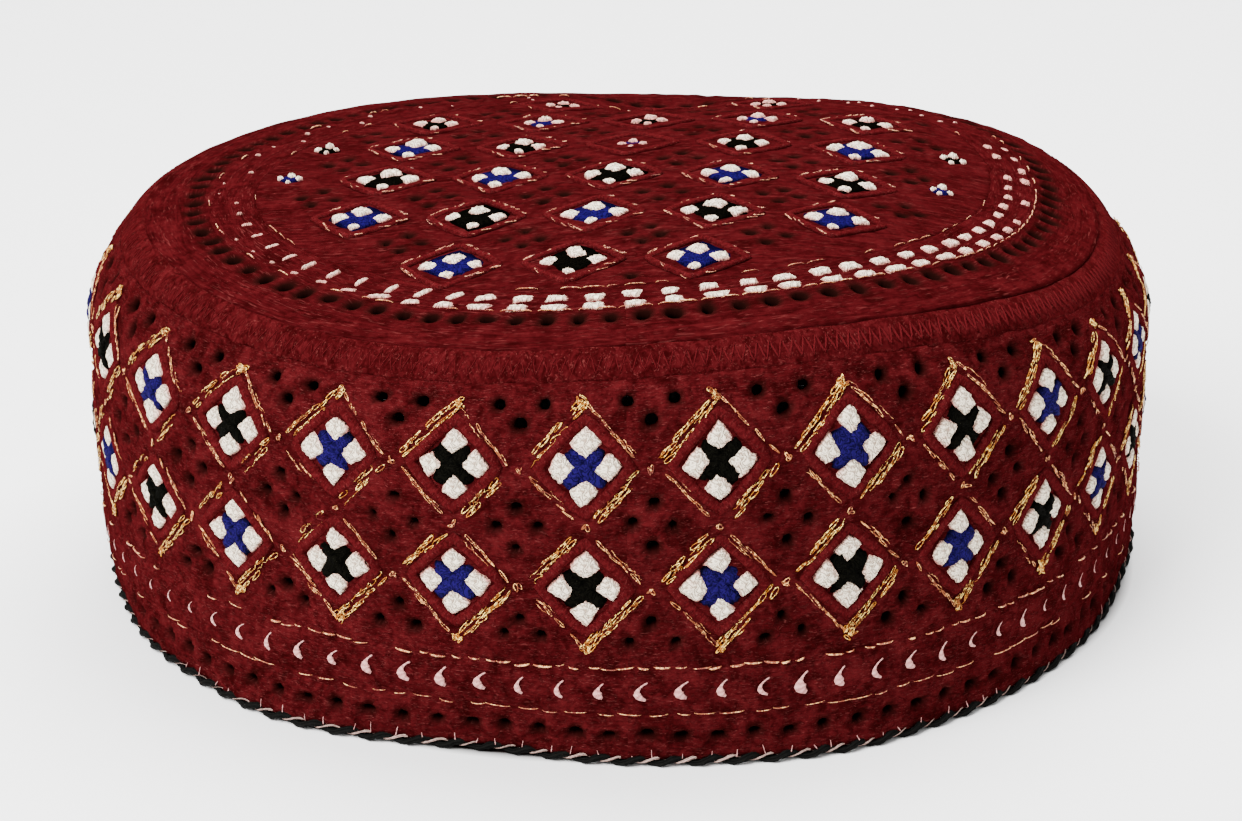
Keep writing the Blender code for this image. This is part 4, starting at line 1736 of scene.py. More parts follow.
@dataclass
class BandEmbroidery:
    """Everything worked on the band: two rows of squares and the lower border."""

    pattern: Pattern
    seed: int = 5
    crescent_up: float = 13.4 * MM
    crescent_route: tuple[tuple[float, float], ...] = (
        (1.05, 1.75),
        (-0.55, 0.75),
        (-1.15, -0.85),
        (0.75, -1.55),
    )
    lines: tuple[tuple[float, ...], ...] = (
        (9.3 * MM, 4.2 * MM, 0.06 * MM, 0.10 * MM, 0.98),
        (17.3 * MM, 2.8 * MM, 0.08 * MM, 0.20 * MM, 0.76),
    )

    def build(self) -> list[bpy.types.Object]:
        """Make the embroidery's pieces."""
        skin = self.pattern.skin
        work = SquareWork(skin, self.seed)
        slim = replace(
            work, seed=self.seed + 3, link_width=0.36 * MM, link_radius=0.075 * MM, link_share=0.80
        )
        small = replace(work, seed=self.seed + 4, link_length=1.15 * MM, link_width=0.55 * MM)
        middles, upper, blue = self.pattern.squares()
        pieces = [
            add_piece("band_white_blocks", work.blocks(middles, 0.0), CREAM_SATIN),
            add_piece("band_blue_crosses", work.crosses(middles[blue], 0.0), BLUE_THREAD),
            add_piece("band_black_crosses", work.crosses(middles[~blue], 0.0), BLACK_THREAD),
            add_piece("band_square_borders", work.borders(middles, 0.0), BORDER_THREAD),
        ]
        tip = np.array([0.0, work.chain_half_height])
        rows = (("upper", upper, UPPER_SIDES, 1.0), ("lower", ~upper, LOWER_SIDES, -1.0))
        for name, row, sides, sign in rows:
            thick = tuple(side for side in sides if side.chain is Chain.DOUBLE)
            thin = tuple(side for side in sides if side.chain is Chain.SINGLE)
            outer, inner = (thick[:1], thick[1:]) if sign > 0.0 else (thick[1:], thick[:1])
            knots = small.knots(middles[row] + sign * (tip - 0.3 * MM), 7, 0.42 * MM)
            angle = skin.angle_at(middles[row, 0])
            kept = unworn(angle, -0.90, -2.25, 0.72)
            faded = kept * unworn(angle, 9.0, -1.80, 0.45)
            outer_chains = work.chains(middles[row], 0.0, outer, kept)
            inner_chains = work.chains(middles[row], 0.0, inner, faded)
            gold = joined([outer_chains, inner_chains, work.strands(middles[row], 0.0, thick), knots])
            pieces.append(add_piece(f"band_gold_chains_{name}", gold, GOLD_THREAD))
            thin_chains = slim.chains(middles[row], 0.0, thin, kept)
            copper = joined([thin_chains, slim.strands(middles[row], 0.0, thin, 2)])
            pieces.append(add_piece(f"band_copper_chains_{name}", copper, COPPER_THREAD))
        pieces.append(add_piece("band_junction_knots", self.junctions(small), COPPER_THREAD))
        pieces.append(add_piece("band_crescents", self.crescents(), ROSE_THREAD))
        pieces.append(add_piece("band_running_lines", self.running_lines(), LINE_THREAD))
        return pieces

    def junctions(self, work: SquareWork) -> Patch:
        """Small knots where diamonds meet, side by side and one above the other.

        Args:
            work: Embroidery with the size of loop to use.

        Returns:
            The knots as one patch.
        """
        pattern = self.pattern
        skin = pattern.skin
        up, low = float(skin.up_at(pattern.upper_height)), float(skin.up_at(pattern.lower_height))
        column = pattern.column_place(np.arange(pattern.columns))
        beside = pattern.column_place(np.arange(pattern.columns) + 0.5)
        spots = [
            pair(column, np.full(pattern.columns, 0.5 * (up + low))),
            pair(beside, np.full(pattern.columns, up - 0.3 * MM)),
            pair(beside, np.full(pattern.columns, low - 0.2 * MM)),
        ]
        return work.knots(np.concatenate(spots), 2, 0.25 * MM)

    def crescents(self) -> Patch:
        """Rose-white leaf stitches of the lower border: a thin tail above right, a heel and a toe.

        The path is a cubic curve through its four guide points, and the radius a bell along it.
        """
        rng = np.random.default_rng(self.seed + 1)
        skin = self.pattern.skin
        count, points = self.pattern.crescents, 9
        t = np.linspace(0.0, 1.0, points)
        weights = np.stack([(1.0 - t) ** 3, 3.0 * t * (1.0 - t) ** 2, 3.0 * t**2 * (1.0 - t), t**3])
        route = (np.array(self.crescent_route).T @ weights) * MM
        along = (np.arange(count) + 0.3) * skin.length / count
        left = unworn(skin.angle_at(along), -0.78, -2.28, 0.38)[:, None]
        size = rng.uniform(0.74, 1.08, (count, 1)) * (0.5 + 0.5 * left)
        first = along[:, None] + size * rng.uniform(0.7, 1.25, (count, 1)) * route[0]
        second = self.crescent_up + size * route[1] + shake(rng, 0.2 * MM, (count, 1))
        radius = size * left * MM * (0.14 + rng.uniform(0.36, 0.90, (count, 1)) * bell(t - 0.68, 0.25))
        centre, _, _, out = skin.frame(first, second)
        return tubes(centre + out * 0.45 * MM, out, radius, 8, closed=False, flat=0.5)

    def running_lines(self) -> Patch:
        """Dashed lines above and below the crescents: short threads on the cloth, sunk at both ends."""
        rng = np.random.default_rng(self.seed + 2)
        skin = self.pattern.skin
        patches = []
        for up, pitch, low, high, kept in self.lines:
            count = round(skin.length / pitch)
            t = np.linspace(-1.0, 1.0, 7)
            along = (np.arange(count) + shake(rng, 0.2, count)) * skin.length / count
            there = rng.random(count) < kept * unworn(skin.angle_at(along), -0.62, -2.35, 0.45)
            along = along[there]
            shape = (len(along), 1)
            half = 0.5 * pitch * rng.uniform(0.45, 1.10, shape)
            first = along[:, None] + half * t
            second = up + shake(rng, 0.25 * MM, shape)
            second = second + shake(rng, 0.22 * MM, shape) * t
            centre, _, _, out = skin.frame(first, second)
            rise = (0.60 - 0.34 * t**4) * MM
            radius = rng.uniform(low, high, shape) * (1.0 - 0.55 * t**4)
            patches.append(tubes(centre + out * rise[:, None], out, radius, 6, closed=False, flat=0.8))
        return joined(patches)


@dataclass
class CrownLattice:
    """The crown's repeat: squares on a lattice that is turned a little, cut off by the ring round it."""

    skin: CrownSkin
    origin: tuple[float, float] = (-1.96 * MM, -10.74 * MM)
    row_step: tuple[float, float] = (20.25 * MM, -3.29 * MM)
    column_step: tuple[float, float] = (3.29 * MM, 20.25 * MM)
    reach: float = 60.0 * MM
    right_shift: tuple[float, float] = (-1.0 * MM, 4.5 * MM)
    worn: tuple[tuple[int, int, float], ...] = (
        (0, 1, 0.15),
        (-1, 1, 0.80),
        (1, 1, 0.80),
        (-2, 2, 0.60),
        (-1, 2, 0.55),
        (0, 2, 0.40),
        (1, 2, 0.50),
        (2, 2, 0.80),
        (-2, 3, 0.30),
        (-1, 3, 0.30),
        (0, 3, 0.10),
        (1, 3, 0.35),
        (2, 3, 0.40),
    )
    seed: int = 23

    @property
    def turn(self) -> float:
        """Turn of the lattice."""
        return math.atan2(self.row_step[1], self.row_step[0])

    def places(self, half_steps: bool) -> tuple[Array, Array]:
        """Lattice places and their counting numbers, at whole or half steps.

        Args:
            half_steps: Whether to stand between the squares.

        Returns:
            Places and numbers, each with a last axis of two.
        """
        shift = 0.5 if half_steps else 0.0
        i, j = np.meshgrid(np.arange(-5, 6), np.arange(-4, 6), indexing="ij")
        steps = pair(i.reshape(-1), j.reshape(-1))
        moved = steps + shift
        row, column = np.array(self.row_step), np.array(self.column_step)
        spot = np.array(self.origin) + moved[:, :1] * row + moved[:, 1:] * column
        return spot, steps

    def squares(self) -> tuple[Array, Array]:
        """Middles of the whole squares inside the ring, and whether each cross is blue."""
        spot, steps = self.places(half_steps=False)
        inside = self.skin.radius_at(spot[:, 0], spot[:, 1]) < self.reach
        return spot[inside], (steps[inside].sum(axis=1) % 2 == 1)

    def kept(self) -> Array:
        """Share of its thread that each whole square has kept, less in the fold at the back."""
        spot, steps = self.places(half_steps=False)
        share = np.ones(len(steps))
        for row, column, left in self.worn:
            share[(steps[:, 0] == row) & (steps[:, 1] == column)] = left
        return share[self.skin.radius_at(spot[:, 0], spot[:, 1]) < self.reach]

    def cut_squares(self) -> tuple[Array, Array]:
        """Middles of the squares that the ring cuts short, drawn inwards, and whether a cross is blue."""
        spot, steps = self.places(half_steps=False)
        radius = self.skin.radius_at(spot[:, 0], spot[:, 1])
        at_side = (np.abs(steps[:, 0]) == 3) & (steps[:, 1] >= 0) & (steps[:, 1] <= 1)
        beside = (radius >= self.reach) & at_side
        inwards = (self.reach / radius[beside])[:, None]
        shift = np.where(spot[beside, :1] > 0.0, np.array(self.right_shift), 0.0)
        return spot[beside] * inwards + shift, (steps[beside].sum(axis=1) % 2 == 1)

    def eyelets(self, limit: float) -> Eyelets:
        """Four eyelets in each gap between squares, as far as a limit from the middle.

        Args:
            limit: Largest radius on the round plan.

        Returns:
            The field's eyelets.
        """
        rng = np.random.default_rng(self.seed)
        spot, _ = self.places(half_steps=True)
        offset = 3.2 * MM * np.array([[1.0, 0.0], [0.0, 1.0], [-1.0, 0.0], [0.0, -1.0]])
        turned = SquareWork.turned(offset, self.turn)
        places = (spot[:, None] + turned[None]).reshape(-1, 2)
        places = places + shake(rng, 0.6 * MM, places.shape)
        places = places[self.skin.radius_at(places[:, 0], places[:, 1]) < limit]
        half = rng.uniform(0.62, 0.95, (len(places), 2)) * MM
        return Eyelets(places, half[:, 0], half[:, 1])


@dataclass
class CrownCloth:
    """The crown's cloth: a field and the border round it, closed walls that meet under a gold line."""

    lattice: CrownLattice
    field_radius: float = 65.2 * MM
    cell: float = 0.80 * MM
    ring_eyelets: int = 96
    ring_radius: float = 75.9 * MM
    crease_radius: float = 82.6 * MM
    crease_start: float = math.radians(-92.0)
    crease_end: float = math.radians(-64.0)
    seed: int = 31

    def build(self) -> list[bpy.types.Object]:
        """Make both walls."""
        return [
            add_piece("crown_field", self.field(), CROWN_CLOTH, replaces=("crown_top",)),
            add_piece("crown_border", self.border(), CROWN_CLOTH),
        ]

    def relief(self, first: Array, second: Array) -> Array:
        """Lumps of the worked cloth at two sizes, and the crease beside the seam in front.

        Args:
            first: Crown x.
            second: Crown y.

        Returns:
            Heights above the plain surface.
        """
        swelling = 0.12 * MM * lumps(first, second, 2.1 * MM, 3)
        swelling = swelling + 0.16 * MM * lumps(first, second, 6.0 * MM, 4)
        radius = self.lattice.skin.radius_at(first, second)
        angle = np.arctan2(second, first)
        window = np.clip((angle - self.crease_start) / 0.08, 0.0, 1.0)
        window = window * np.clip((self.crease_end - angle) / 0.15, 0.0, 1.0)
        crease = 0.75 * MM * bell(radius - self.crease_radius, 0.55 * MM) * window
        edge = self.lattice.skin.form.crown_edge * self.lattice.skin.form.seam_radius
        rise = 0.40 * MM * bell(edge - radius, 1.5 * MM)
        return swelling + rise - crease

    def wall(self, snapped: tuple[Array, ...], places: Array | None = None) -> Patch:
        """A pierced wall over a grid of crown places.

        Args:
            snapped: Kept cells, first and second coordinates, and the distance to the nearest eyelet.
            places: Texture coordinates of a grid that closes on itself, or None for one that does not.

        Returns:
            The wall as one patch.
        """
        keep, first, second, gap = snapped
        around = places is not None
        skin = self.lattice.skin
        points, _, _, out = skin.frame(first, second)
        rim = around_eyelet(gap, 0.18 * MM, 0.25 * MM)
        outer = points + out * (self.relief(first, second) + rim)[..., None]
        inner = points - out * skin.form.cloth
        places = places if around else pair(first, second)
        shade = eyelet_shade(gap, 0.95, 0.70 * MM)
        return without_loose(pierced_wall(outer, inner, keep, places, around, shade))

    def field(self) -> Patch:
        """The field: a square grid along the lattice, its rim drawn onto the field's circle."""
        turn = self.lattice.turn
        count = round(2.04 * self.field_radius / self.cell) + 1
        ticks = np.linspace(-1.02 * self.field_radius, 1.02 * self.field_radius, count)
        m, n = np.meshgrid(ticks, ticks, indexing="ij")
        grid = SquareWork.turned(pair(m, n), turn)
        first, second = grid[..., 0], grid[..., 1]
        skin = self.lattice.skin
        inside = skin.radius_at(cell_middles(first), cell_middles(second)) < self.field_radius
        edge = Eyelets.beside_open(inside, first.shape, around=False)
        radius = skin.radius_at(first, second)
        outside = edge | (radius > self.field_radius)
        pull = np.where(outside, self.field_radius / np.maximum(radius, 1e-9), 1.0)
        eyelets = self.lattice.eyelets(62.0 * MM)
        keep, *drawn = eyelets.snapped(first * pull, second * pull, None)
        return self.wall((keep & inside, *drawn))

    def border(self) -> Patch:
        """The border: a ring of cells from the field to the seam, pierced by one ring of eyelets."""
        skin = self.lattice.skin
        outside = skin.form.crown_edge * skin.form.seam_radius
        columns = self.ring_eyelets * 7
        rows = round((outside - self.field_radius) / self.cell) + 1
        angle = np.arange(columns) * math.tau / columns - 0.5 * math.pi
        radius = np.linspace(outside, self.field_radius, rows)
        turn, reach = np.meshgrid(angle, radius, indexing="ij")
        rng = np.random.default_rng(self.seed)
        spot = (np.arange(self.ring_eyelets) + 0.5) * math.tau / self.ring_eyelets - 0.5 * math.pi
        along = (spot + 0.5 * math.pi) * self.ring_radius + shake(rng, 0.2 * MM, len(spot))
        across = self.ring_radius + shake(rng, 0.25 * MM, len(spot))
        half = rng.uniform([0.90, 1.00], [1.35, 1.50], (len(spot), 2)) * MM
        eyelets = Eyelets(pair(along, across), half[:, 0], half[:, 1])
        return self.wall(self.snapped_ring(turn, reach, eyelets), self.ring_places(turn, reach))

    def ring_places(self, turn: Array, reach: Array) -> Array:
        """Texture coordinates of the border: distance round the ring and radius."""
        wide = np.concatenate([turn, turn[:1] + math.tau])
        tall = np.concatenate([reach, reach[:1]])
        return pair(wide * self.ring_radius, tall)

    def snapped_ring(self, turn: Array, reach: Array, eyelets: Eyelets) -> tuple[Array, ...]:
        """The border's grid with its points drawn onto the eyelets, given back as crown places.

        Args:
            turn: Angles of the grid.
            reach: Radii of the grid on the round plan.
            eyelets: Eyelets of the unrolled ring.

        Returns:
            Kept cells, crown x and y, and metres to the nearest eyelet.
        """
        unrolled = (turn + 0.5 * math.pi) * self.ring_radius
        keep, along, across, gap = eyelets.snapped(unrolled, reach, math.tau * self.ring_radius)
        angle = along / self.ring_radius - 0.5 * math.pi
        first, second = self.lattice.skin.polar(across, angle)
        return keep, first, second, gap


@dataclass
class CrownEmbroidery:
    """Everything worked on the crown: squares, and the ring of paired white blocks between gold lines."""

    lattice: CrownLattice
    seed: int = 41
    pair_count: int = 72
    outer_radius: float = 71.8 * MM
    inner_radius: float = 68.5 * MM
    outer_line: float = 73.2 * MM
    inner_line: float = 65.2 * MM
    cut_size: float = 0.42

    def build(self) -> list[bpy.types.Object]:
        """Make the embroidery's pieces."""
        work = SquareWork(
            self.lattice.skin,
            self.seed,
            block_half=1.48 * MM,
            block_reach=3.70 * MM,
            block_height=0.58 * MM,
            block_turned=0.35,
            block_sizes=(1.08, 1.30, 1.08, 0.76),
            block_reaches=(1.0, 0.60, 1.0, 1.04),
            block_rises=(1.15, 2.0, 1.15, 0.95),
            arm_half_width=1.15 * MM,
            arm_height=0.46 * MM,
            pad_half=5.00 * MM,
            pad_height=0.44 * MM,
            pad_shift=0.7 * MM,
            # Painted shadow on the far corners of the crown's pads.
            pad_far_shadow=1.1,
            border_reach=8.1 * MM,
            border_radius=0.75 * MM,
            chain_half_width=9.3 * MM,
            chain_half_height=9.0 * MM,
            link_radius=0.080 * MM,
            link_width=0.42 * MM,
            link_share=0.56,
        )
        cut = replace(
            work,
            seed=self.seed + 7,
            block_half=self.cut_size * work.block_half,
            block_reach=self.cut_size * work.block_reach,
            arm_half_length=self.cut_size * work.arm_half_length,
            arm_half_width=self.cut_size * work.arm_half_width,
            pad_half=self.cut_size * work.pad_half,
            pad_shift=self.cut_size * work.pad_shift,
        )
        turn = self.lattice.turn
        middles, blue = self.lattice.squares()
        cut_middles, cut_blue = self.lattice.cut_squares()
        kept = self.lattice.kept()
        whites = joined([work.blocks(middles, turn, kept), cut.blocks(cut_middles, turn)])
        blues, blacks = (
            joined([work.crosses(middles[whole], turn, kept[whole]), cut.crosses(cut_middles[small], turn)])
            for whole, small in ((blue, cut_blue), (~blue, ~cut_blue))
        )
        rows = (
            ("crown_white_blocks", whites, CREAM_SATIN),
            # The crown's crosses use the darker copies, painted shade against the stronger top light.
            ("crown_blue_crosses", blues, CROWN_SHADED_BLUE),
            ("crown_black_crosses", blacks, CROWN_SHADED_BLACK),
            ("crown_square_borders", work.borders(middles, turn), BORDER_THREAD),
            ("crown_copper_chains", work.chains(middles, turn, CROWN_SIDES, kept), CROWN_COPPER),
            ("crown_ring_blocks", self.ring_blocks(), CREAM_SATIN),
            ("crown_gold_lines", self.gold_lines(), LINE_THREAD),
        )
        return [add_piece(name, patch, finish) for name, patch, finish in rows]

    def ring_blocks(self) -> Patch:
        """Pairs of small white blocks, one behind the other, all round the field."""
        rng = np.random.default_rng(self.seed + 1)
        patches = []
        grid = (8, 6)
        rows = (
            (self.outer_radius, 2.10 * MM, 1.15 * MM, (-0.40, -2.35, 0.15), 0.35),
            (self.inner_radius, 1.85 * MM, 1.20 * MM, (-0.20, -2.75, 0.15), 1.60),
        )
        for radius, half_along, half_in, wear, slant in rows:
            count = self.pair_count
            angle = (np.arange(count) + 0.2) * math.tau / count - 0.5 * math.pi
            angle = angle + shake(rng, 0.006, count)
            reach = radius + shake(rng, 0.15 * MM, count)
            centre = pair(*self.lattice.skin.polar(reach, angle))
            ahead = pair(*self.lattice.skin.polar(reach, angle + 0.001))
            tangent = unit(ahead - centre)
            inward = pair(-tangent[:, 1], tangent[:, 0])
            left = np.maximum(unworn(angle, *wear), 0.55 * unworn(angle, 0.45, -1.0, 0.0))
            whole = unworn(angle, 9.0, -1.98, 0.0)
            tangent, inward = (SquareWork.turned(side, slant * (1.0 - whole)) for side in (tangent, inward))
            there = rng.random(count) < 0.2 + left
            found = (left, whole, centre, tangent, inward)
            left, whole, centre, tangent, inward = (values[there] for values in found)
            count = len(left)
            first = tangent * (half_along * left * rng.uniform(0.80, 1.10, count))[:, None]
            deep = half_in * (0.4 + 0.6 * left) * (0.42 + 0.58 * whole)
            second = inward * (deep * rng.uniform(0.85, 1.10, count))[:, None]
            height = (0.20 + 0.26 * left) * MM * rng.uniform(0.85, 1.1, count)
            ripple = shake(rng, 0.20, (count, *grid))
            skew = shake(rng, 0.25, (count, 2))
            fray = shake(rng, 0.09, (count, *grid, 2))
            stitch = (centre, first, second, height, grid, 0.2 * MM, 0.0, ripple, skew, fray)
            patch = cushions(self.lattice.skin, *stitch)
            rosy = 0.30 * unworn(angle[there], 9.0, -0.85, 0.0)
            worn = 1.1 * (1.0 - left) + 0.35 * (1.0 - whole) + rosy
            patch.tone = patch.tone + np.repeat(worn, grid[0] * grid[1])
            patches.append(patch)
        return joined(patches)

    def gold_lines(self) -> Patch:
        """Thin dashed lines inside and outside the ring of blocks."""
        rng = np.random.default_rng(self.seed + 2)
        patches = []
        lines = (
            (self.outer_line, 3.2 * MM, 0.07 * MM, 0.14 * MM, 0.95, (0.10, -2.05, 0.16)),
            (self.inner_line, 3.6 * MM, 0.05 * MM, 0.09 * MM, 0.55, (-0.20, -2.00, 0.25)),
        )
        for radius, pitch, low, high, kept, wear in lines:
            count = round(math.tau * radius / pitch)
            t = np.linspace(-1.0, 1.0, 6)
            angle = (np.arange(count) + shake(rng, 0.1, count)) * math.tau / count
            angle = angle[rng.random(count) < kept * unworn(angle, *wear)]
            half = 0.5 * math.tau / count * rng.uniform(0.45, 1.05, len(angle))
            count = len(angle)
            reach = radius + shake(rng, 0.15 * MM, (count, 1)) * t
            first, second = self.lattice.skin.polar(reach, angle[:, None] + half[:, None] * t)
            centre, _, _, out = self.lattice.skin.frame(first, second)
            rise = (0.44 - 0.22 * t**4) * MM
            thick = rng.uniform(low, high, (count, 1)) * (1.0 - 0.5 * t**4)
            patches.append(tubes(centre + out * rise[:, None], out, thick, 6, closed=False))
        return joined(patches)


@dataclass
class CrownSeam:
    """The rounded ridge between band and crown, overcast with a zigzag in its own colour."""

    band: BandSkin
    half_width: float = 3.05 * MM
    proud: float = 0.85 * MM
    depth: float = 2.0 * MM
    columns: int = 840
    zigzags: int = 292
    zigzag_reach: float = 1.55 * MM
    seed: int = 3

    def build(self) -> list[bpy.types.Object]:
        """Make the ridge and its stitches."""
        ridge = self.ridge()
        return [
            add_piece("crown_seam_ridge", ridge, SEAM_THREAD, replaces=("crown_seam",)),
            add_piece("crown_seam_zigzag", self.zigzag(), STITCH_THREAD),
        ]

    def ridge(self) -> Patch:
        """A closed ring, half an ellipse outside and a deeper one inside in section, a little lumpy."""
        skin = SeamSkin(self.band, self.half_width, self.proud)
        sides = 20
        turn = np.arange(sides) * math.tau / sides
        along = np.arange(self.columns) * self.band.length / self.columns
        first, around = np.meshgrid(along, turn, indexing="ij")
        lump = 1.0 + 0.05 * np.sin(first / (2.7 * MM)) * np.sin(first / (9.1 * MM) + around)
        across = self.half_width * np.cos(around) * lump
        out = np.where(np.sin(around) > 0.0, self.proud, self.depth) * np.sin(around) * lump
        radius, height = skin.section(across, out)
        points = self.band.form.on_plan(radius, height, self.band.angle_at(first), 1.0, 1.0)
        cells, _ = grid_corners(self.columns, sides + 1, around=True)
        numbers = (cells[..., 0] % self.columns) * sides + cells[..., 1] % sides
        length = cells[..., 0] * self.band.length / self.columns
        girth = cells[..., 1] * 8.5 * MM / sides
        corners = pair(length, girth)
        return Patch(points.reshape(-1, 3), [numbers], [corners], np.zeros(self.columns * sides))

    def zigzag(self) -> Patch:
        """One thread that swings from side to side of the ridge, twice to a stitch."""
        rng = np.random.default_rng(self.seed)
        skin = SeamSkin(self.band, self.half_width, self.proud)
        points = self.zigzags * 6
        t = np.arange(points) / points
        swing = 2.0 * np.abs(np.mod(t * self.zigzags, 1.0) * 2.0 - 1.0) - 1.0
        reach = self.zigzag_reach * (1.0 + shake(rng, 0.12, points))
        first = t * self.band.length + shake(rng, 0.10 * MM, points)
        second = swing * reach - 0.2 * MM
        centre, _, _, out = skin.frame(first[None], second[None])
        radius = (0.22 * MM * (0.35 + 0.65 * unworn(self.band.angle_at(first), -0.20, -1.40, 0.0)))[None]
        return tubes(centre + out * 0.04 * MM, out, radius, 5, closed=True, flat=0.8)


@dataclass
class RimCord:
    """The edging: a black and a white ply twisted together, and the small stitches that hold it."""

    band: BandSkin
    twists: int = 98
    helix: float = 0.40 * MM
    black_radius: float = 0.58 * MM
    white_radius: float = 0.25 * MM
    white_lift: float = 0.22 * MM
    height: float = 0.97 * MM
    centre_out: float = 0.05 * MM
    tick_pitch: float = 4.2 * MM
    core_radius: float = 0.80 * MM
    core_height: float = 0.85 * MM
    core_in: float = 1.10 * MM
    seed: int = 9

    def build(self) -> list[bpy.types.Object]:
        """Make both plies and the stitches."""
        black = joined([self.ply(0.0, self.black_radius, 0.0), self.core()])
        white = self.ply(math.pi, self.white_radius, self.white_lift)
        return [
            add_piece("rim_black_ply", black, BLACK_PLY, replaces=("rim_binding",)),
            add_piece("rim_white_ply", white, WHITE_PLY),
            add_piece("rim_stitches", self.ticks(), ROSE_THREAD),
        ]

    def ply(self, phase: float, thickness: float, lift: float) -> Patch:
        """A ply that winds round the rim: out by the helix times the cosine and up by its sine.

        Args:
            phase: Where on its turn the ply starts.
            thickness: Mean radius of the ply.
            lift: How far its middle line stands above the other ply, 0 for the black one.

        Returns:
            The ply as one patch.
        """
        points = self.twists * 14
        turn = np.arange(points) * math.tau * self.twists / points + phase
        along = np.arange(points) * self.band.length / points
        base, _, up, out = self.band.frame(along, np.full(points, self.height + lift))
        swell = 1.0 + 0.12 * np.sin(3.0 * turn + 7.0 * along / (10.0 * MM)) + 0.16 * np.sin(turn - 0.8)
        if lift:
            patchy = 0.78 + 0.34 * np.sin(along / (6.1 * MM)) * np.sin(along / (14.7 * MM) + 1.0)
            swell = swell * patchy * unworn(self.band.angle_at(along), -1.10, -2.20, 0.30)
        cos, sin = np.cos(turn)[:, None], np.sin(turn)[:, None]
        centre = base + out * (self.centre_out + self.helix * cos) + up * (self.helix * sin)
        outward = out * cos + up * sin
        return self.grounded(tubes(centre[None], outward[None], (thickness * swell)[None], 8, closed=True))

    def core(self) -> Patch:
        """The cord's filling under the band's lower edge, which keeps the light out."""
        count = 360
        along = np.arange(count) * self.band.length / count
        base, _, _, out = self.band.frame(along, np.full(count, self.core_height))
        radius = np.full((1, count), self.core_radius)
        return self.grounded(tubes((base - out * self.core_in)[None], out[None], radius, 8, closed=True))

    @staticmethod
    def grounded(patch: Patch) -> Patch:
        """The patch with what would go below the floor pressed flat onto it."""
        patch.points[:, 2] = np.maximum(patch.points[:, 2], 0.0)
        return patch

    def ticks(self) -> Patch:
        """Short pale stitches that climb from the cord onto the band, uneven in height."""
        rng = np.random.default_rng(self.seed)
        count = round(self.band.length / self.tick_pitch)
        t = np.linspace(0.0, 1.0, 6)
        along = (np.arange(count) + shake(rng, 0.25, count)) * self.band.length / count
        rise = rng.uniform(0.5, 1.8, (count, 1)) * MM
        along = along[rng.random(count) < 0.15 + unworn(self.band.angle_at(along), -0.95, -2.35, 0.0)]
        rise, count = rise[: len(along)], len(along)
        lean = shake(rng, 0.5, (count, 1)) * MM
        first = along[:, None] + lean * t
        second = 1.55 * MM + rise * t
        centre, _, _, out = self.band.frame(first, second)
        lift = (0.30 - 0.25 * t**2) * MM
        radius = rng.uniform(0.05, 0.10, (count, 1)) * MM * (1.0 - 0.4 * t)
        return tubes(centre + out * lift[:, None], out, radius, 6, closed=False)


# Studio


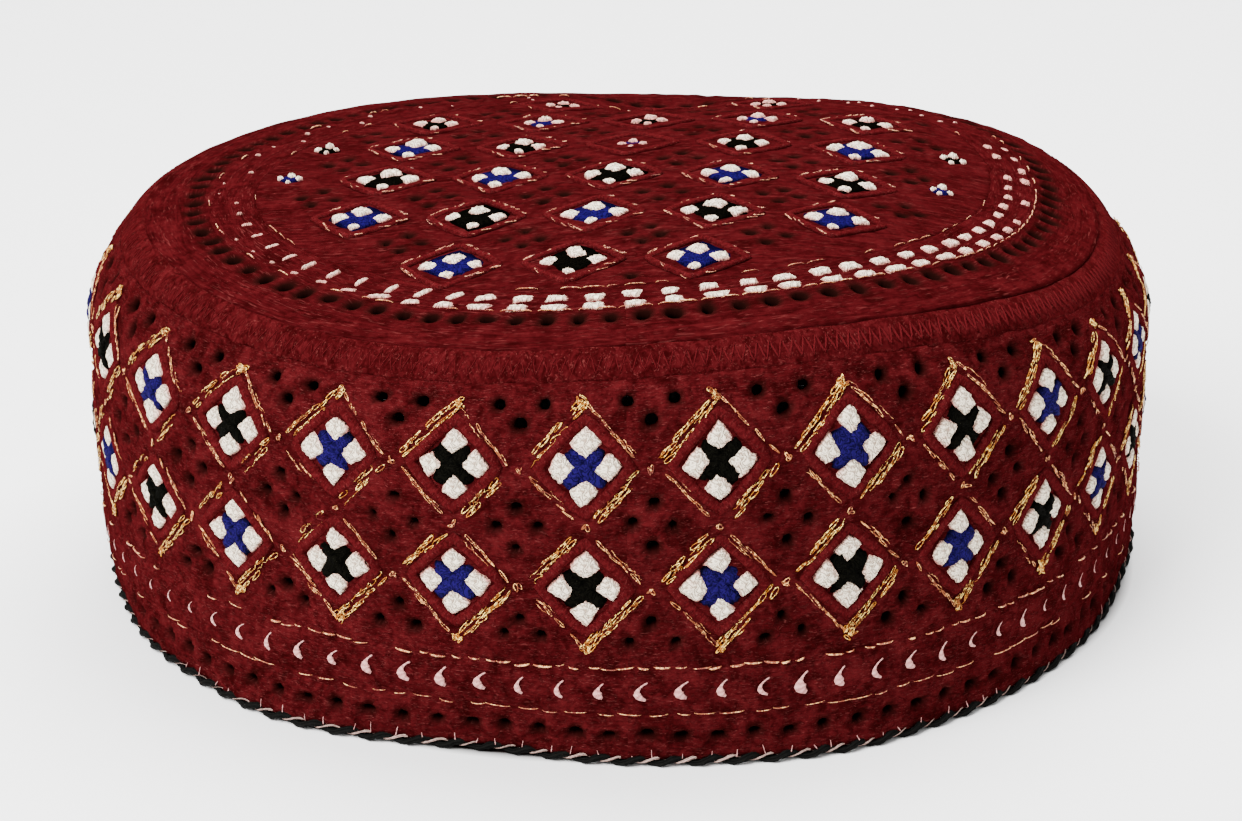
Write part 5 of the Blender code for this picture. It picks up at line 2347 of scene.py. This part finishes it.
@dataclass
class Studio:
    """A plain pale floor, soft light and the camera at the photograph's angle."""

    form: CapForm
    focal_pixels: float = 2958.0
    frame_width: float = 1242.0
    sensor_width: float = 36.0
    distance: float = 0.5127
    height: float = 0.2193
    pitch: float = 0.361
    yaw: float = 0.00196
    roll: float = -0.006

    def build(self) -> None:
        """Make the floor, the lights, the world and the camera."""
        self.floor()
        self.light("key", (-0.60, -0.65, 0.95), 0.70, 52.0)
        self.light("top", (0.20, 0.40, 1.10), 0.90, 34.0)
        self.world()
        self.camera()

    def floor(self) -> None:
        """A wide floor that curves up behind the cap."""
        across = np.linspace(-2.0, 2.0, 3)
        bend = np.linspace(0.1, 0.5 * math.pi, 12)
        along = np.concatenate([np.linspace(-2.0, 0.9, 6), 0.9 + 0.6 * np.sin(bend), [1.5]])
        up = np.concatenate([np.zeros(6), 0.6 - 0.6 * np.cos(bend), [2.2]])
        x, k = np.meshgrid(across, np.arange(len(along)), indexing="ij")
        points = np.stack([x, along[k], up[k]], axis=-1)
        _, numbers = grid_corners(len(across), len(along), around=False)
        mesh = bpy.data.meshes.new("floor")
        mesh.from_pydata(points.reshape(-1, 3).tolist(), [], numbers.tolist())
        mesh.shade_smooth()
        mesh.materials.append(FLOOR.material())
        floor = bpy.data.objects.new("floor", mesh)
        bpy.context.scene.collection.objects.link(floor)

    def light(self, name: str, place: tuple[float, float, float], size: float, power: float) -> None:
        """A square area light that faces the cap.

        Args:
            name: Name of the light.
            place: Where it stands.
            size: Length of its side.
            power: Its power in watts.
        """
        data = bpy.data.lights.new(name, "AREA")
        data.size = size
        data.energy = power
        lamp = bpy.data.objects.new(name, data)
        lamp.location = place
        lamp.rotation_euler = (Vector((0.0, 0.0, 0.04)) - Vector(place)).to_track_quat("-Z", "Y").to_euler()
        bpy.context.scene.collection.objects.link(lamp)

    def world(self) -> None:
        """An even pale surround."""
        world = bpy.data.worlds.new("pale_surround")
        world.use_nodes = True
        background = world.node_tree.nodes["Background"]
        background.inputs["Color"].default_value = (1.0, 1.0, 1.0, 1.0)
        background.inputs["Strength"].default_value = 1.00
        bpy.context.scene.world = world

    def camera(self) -> None:
        """The camera as worked out from the photograph's outline and repeats."""
        data = bpy.data.cameras.new("camera")
        data.sensor_width = self.sensor_width
        data.lens = self.sensor_width * self.focal_pixels / self.frame_width
        data.clip_start = 0.01
        camera = bpy.data.objects.new("camera", data)
        turns = ((self.yaw, "Z"), (0.5 * math.pi - self.pitch, "X"), (self.roll, "Z"))
        turn = Matrix.Identity(4)
        for angle, axis in turns:
            turn = turn @ Matrix.Rotation(angle, 4, axis)
        place = Vector((self.form.centre_x, self.form.centre_y - self.distance, self.height))
        camera.matrix_world = Matrix.Translation(place) @ turn
        bpy.context.scene.collection.objects.link(camera)
        bpy.context.scene.camera = camera


def main() -> None:
    """Build the studio, then the cap piece by piece."""
    logging.basicConfig(level=logging.INFO, format="%(name)s %(message)s")
    form = CapForm()
    band = BandSkin(form)
    pattern = Pattern(band)
    lattice = CrownLattice(CrownSkin(form))
    Studio(form).build()
    parts = (
        SideBand(pattern),
        BandEmbroidery(pattern),
        CrownCloth(lattice),
        CrownEmbroidery(lattice),
        CrownSeam(band),
        RimCord(band),
    )
    for part in parts:
        part.build()
        log.info("%s built", type(part).__name__)


if __name__ == "__main__":
    main()
